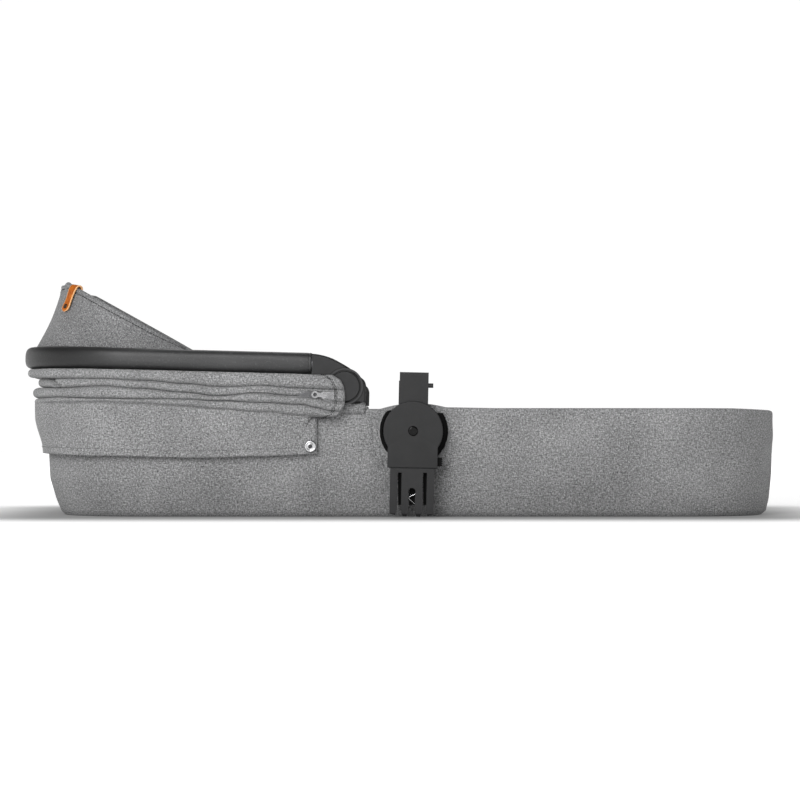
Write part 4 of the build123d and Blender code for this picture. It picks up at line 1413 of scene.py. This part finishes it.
# finishes for the hard parts
hardFinishes = {
    "tub_shell": shellPlastic, "base_board": boardPlastic, "rim_frame": tubeMetal, "handle_tube": tubeMetal,
    "handle_sleeve": sleeveSkin, "canopy_bow_middle": wireMetal, "canopy_bow_rear": wireMetal,
    "visor_pivots": blackPlastic, "zip_slider": zipMetal, "zip_puller": zipMetal, "tab_rivet": rivetMetal,
    "visor_bow": wireMetal, "outer_cover": cloth, "liner": liningCloth, "mattress": jersey,
    "canopy_fold_upper": cloth, "canopy_fold_middle": cloth, "canopy_fold_lower": cloth, "canopy_skirt": cloth,
    "visor_fabric": cloth, "visor_tab": tabSkin, "skirt_snaps": snapMetal, "zip_tape": zipTapeCloth,
    "zip_chain": toothPlastic,
}
pairFinishes = {
    "hub_housing": hubPlastic, "hub_plate": blackPlastic, "adapter_core": blackPlastic,
    "handle_elbow": elbowPlastic, "pivot_bracket": shellPlastic, "pivot_button": elbowPlastic,
    "lock_button": hubPlastic, "hub_backplate": plateMetal, "housing_screws": snapMetal, "hub_nut": snapMetal,
    "pivot_pin": plateMetal, "latch_spring": snapMetal, "tongue_pin": blackPlastic, "hub_screw": screwGloss,
}
for name, finish in pairFinishes.items():
    for side in ("left", "right"):
        hardFinishes[f"{name}_{side}"] = finish
for name, finish in hardFinishes.items():
    mesh = nodes[name].data
    mesh.materials.clear()
    mesh.materials.append(finish)
missing = sorted(set(nodes) - set(hardFinishes))
if missing:
    print("nodes with no finish:", missing)
print("finishes ready")


# stage
light = {"band": 1.01, "sky": 0.20, "key": 52.0, "back": 24.0, "glow": 0.42, "shadow": 0.27,
         "besideX": 0.37, "besideY": 0.19, "bandLow": 0.17, "bandHigh": 0.45}


def makeFloor():
    paint = Paint("paleFloor")
    place = paint.objectMap()
    x, y, z = paint.parts(place)
    away = (x * x + y * y) ** 0.5
    # painted shadow: the floor's colour and glow grow darker towards the cot's footprint
    besideX, besideY = x.absolute() - light["besideX"], y.absolute() - light["besideY"]
    outX, outY = besideX.larger(0.0), besideY.larger(0.0)
    paintedShadowFactor = ((outX * outX + outY * outY) ** 0.5).within(0.02, 0.24) * (1 - light["shadow"]) + light["shadow"]
    speck = paint.noise(place, 30, 2.0, 0.5)
    tone = paint.mix(speck, (0.93, 0.93, 0.93), (0.95, 0.95, 0.95))
    glow = (away.within(1.0, 3.2) * (1 - light["glow"]) + light["glow"]) * paintedShadowFactor
    paint.surface({"Base Color": paint.mix(paintedShadowFactor, (0, 0, 0), tone), "Roughness": 0.8, "Specular IOR Level": 0.1,
                   "Emission Color": paint.mix(glow, (0, 0, 0), (1, 1, 1)), "Emission Strength": 1.0})
    size = 14000.0
    floor = makeMesh("floor", [(-size, -size, 0), (size, -size, 0), (size, size, 0), (-size, size, 0)],
                     [[0, 1, 2, 3]], paint.material)


def makeStage():
    makeFloor()
    world = bpy.data.worlds.new("softRoom")
    scene.world = world
    world.use_nodes = True
    room = Nodes(world.node_tree)
    level = room.add("ShaderNodeSeparateXYZ", None, {0: room.add("ShaderNodeTexCoord")}, out=None)[2].absolute()
    sockets = {0: level, 1: light["bandLow"], 2: light["bandHigh"], 3: light["band"], 4: light["sky"]}
    glow = world.node_tree.nodes["Background"]
    room.feed(glow.inputs[0], (1, 1, 1))
    room.feed(glow.inputs[1], room.add("ShaderNodeMapRange", {"interpolation_type": "SMOOTHSTEP"}, sockets))
    for name, place, aim, size, power in (
            ("key", (-0.9, -2.6, 1.25), (0, 0, 0.1), 1.4, light["key"]),
            ("back", (0.0, 2.0, 2.4), (0, -0.2, 0.0), 2.2, light["back"])):
        data = bpy.data.lights.new(name, "AREA")
        data.energy = power
        data.size = size
        lamp = bpy.data.objects.new(name, data)
        scene.collection.objects.link(lamp)
        lamp.location = place
        lamp.rotation_euler = (Vector(aim) - Vector(place)).to_track_quat("-Z", "Y").to_euler()
        lamp.visible_camera = False
    scene.view_settings.view_transform = "Standard"


makeStage()
print("stage ready")
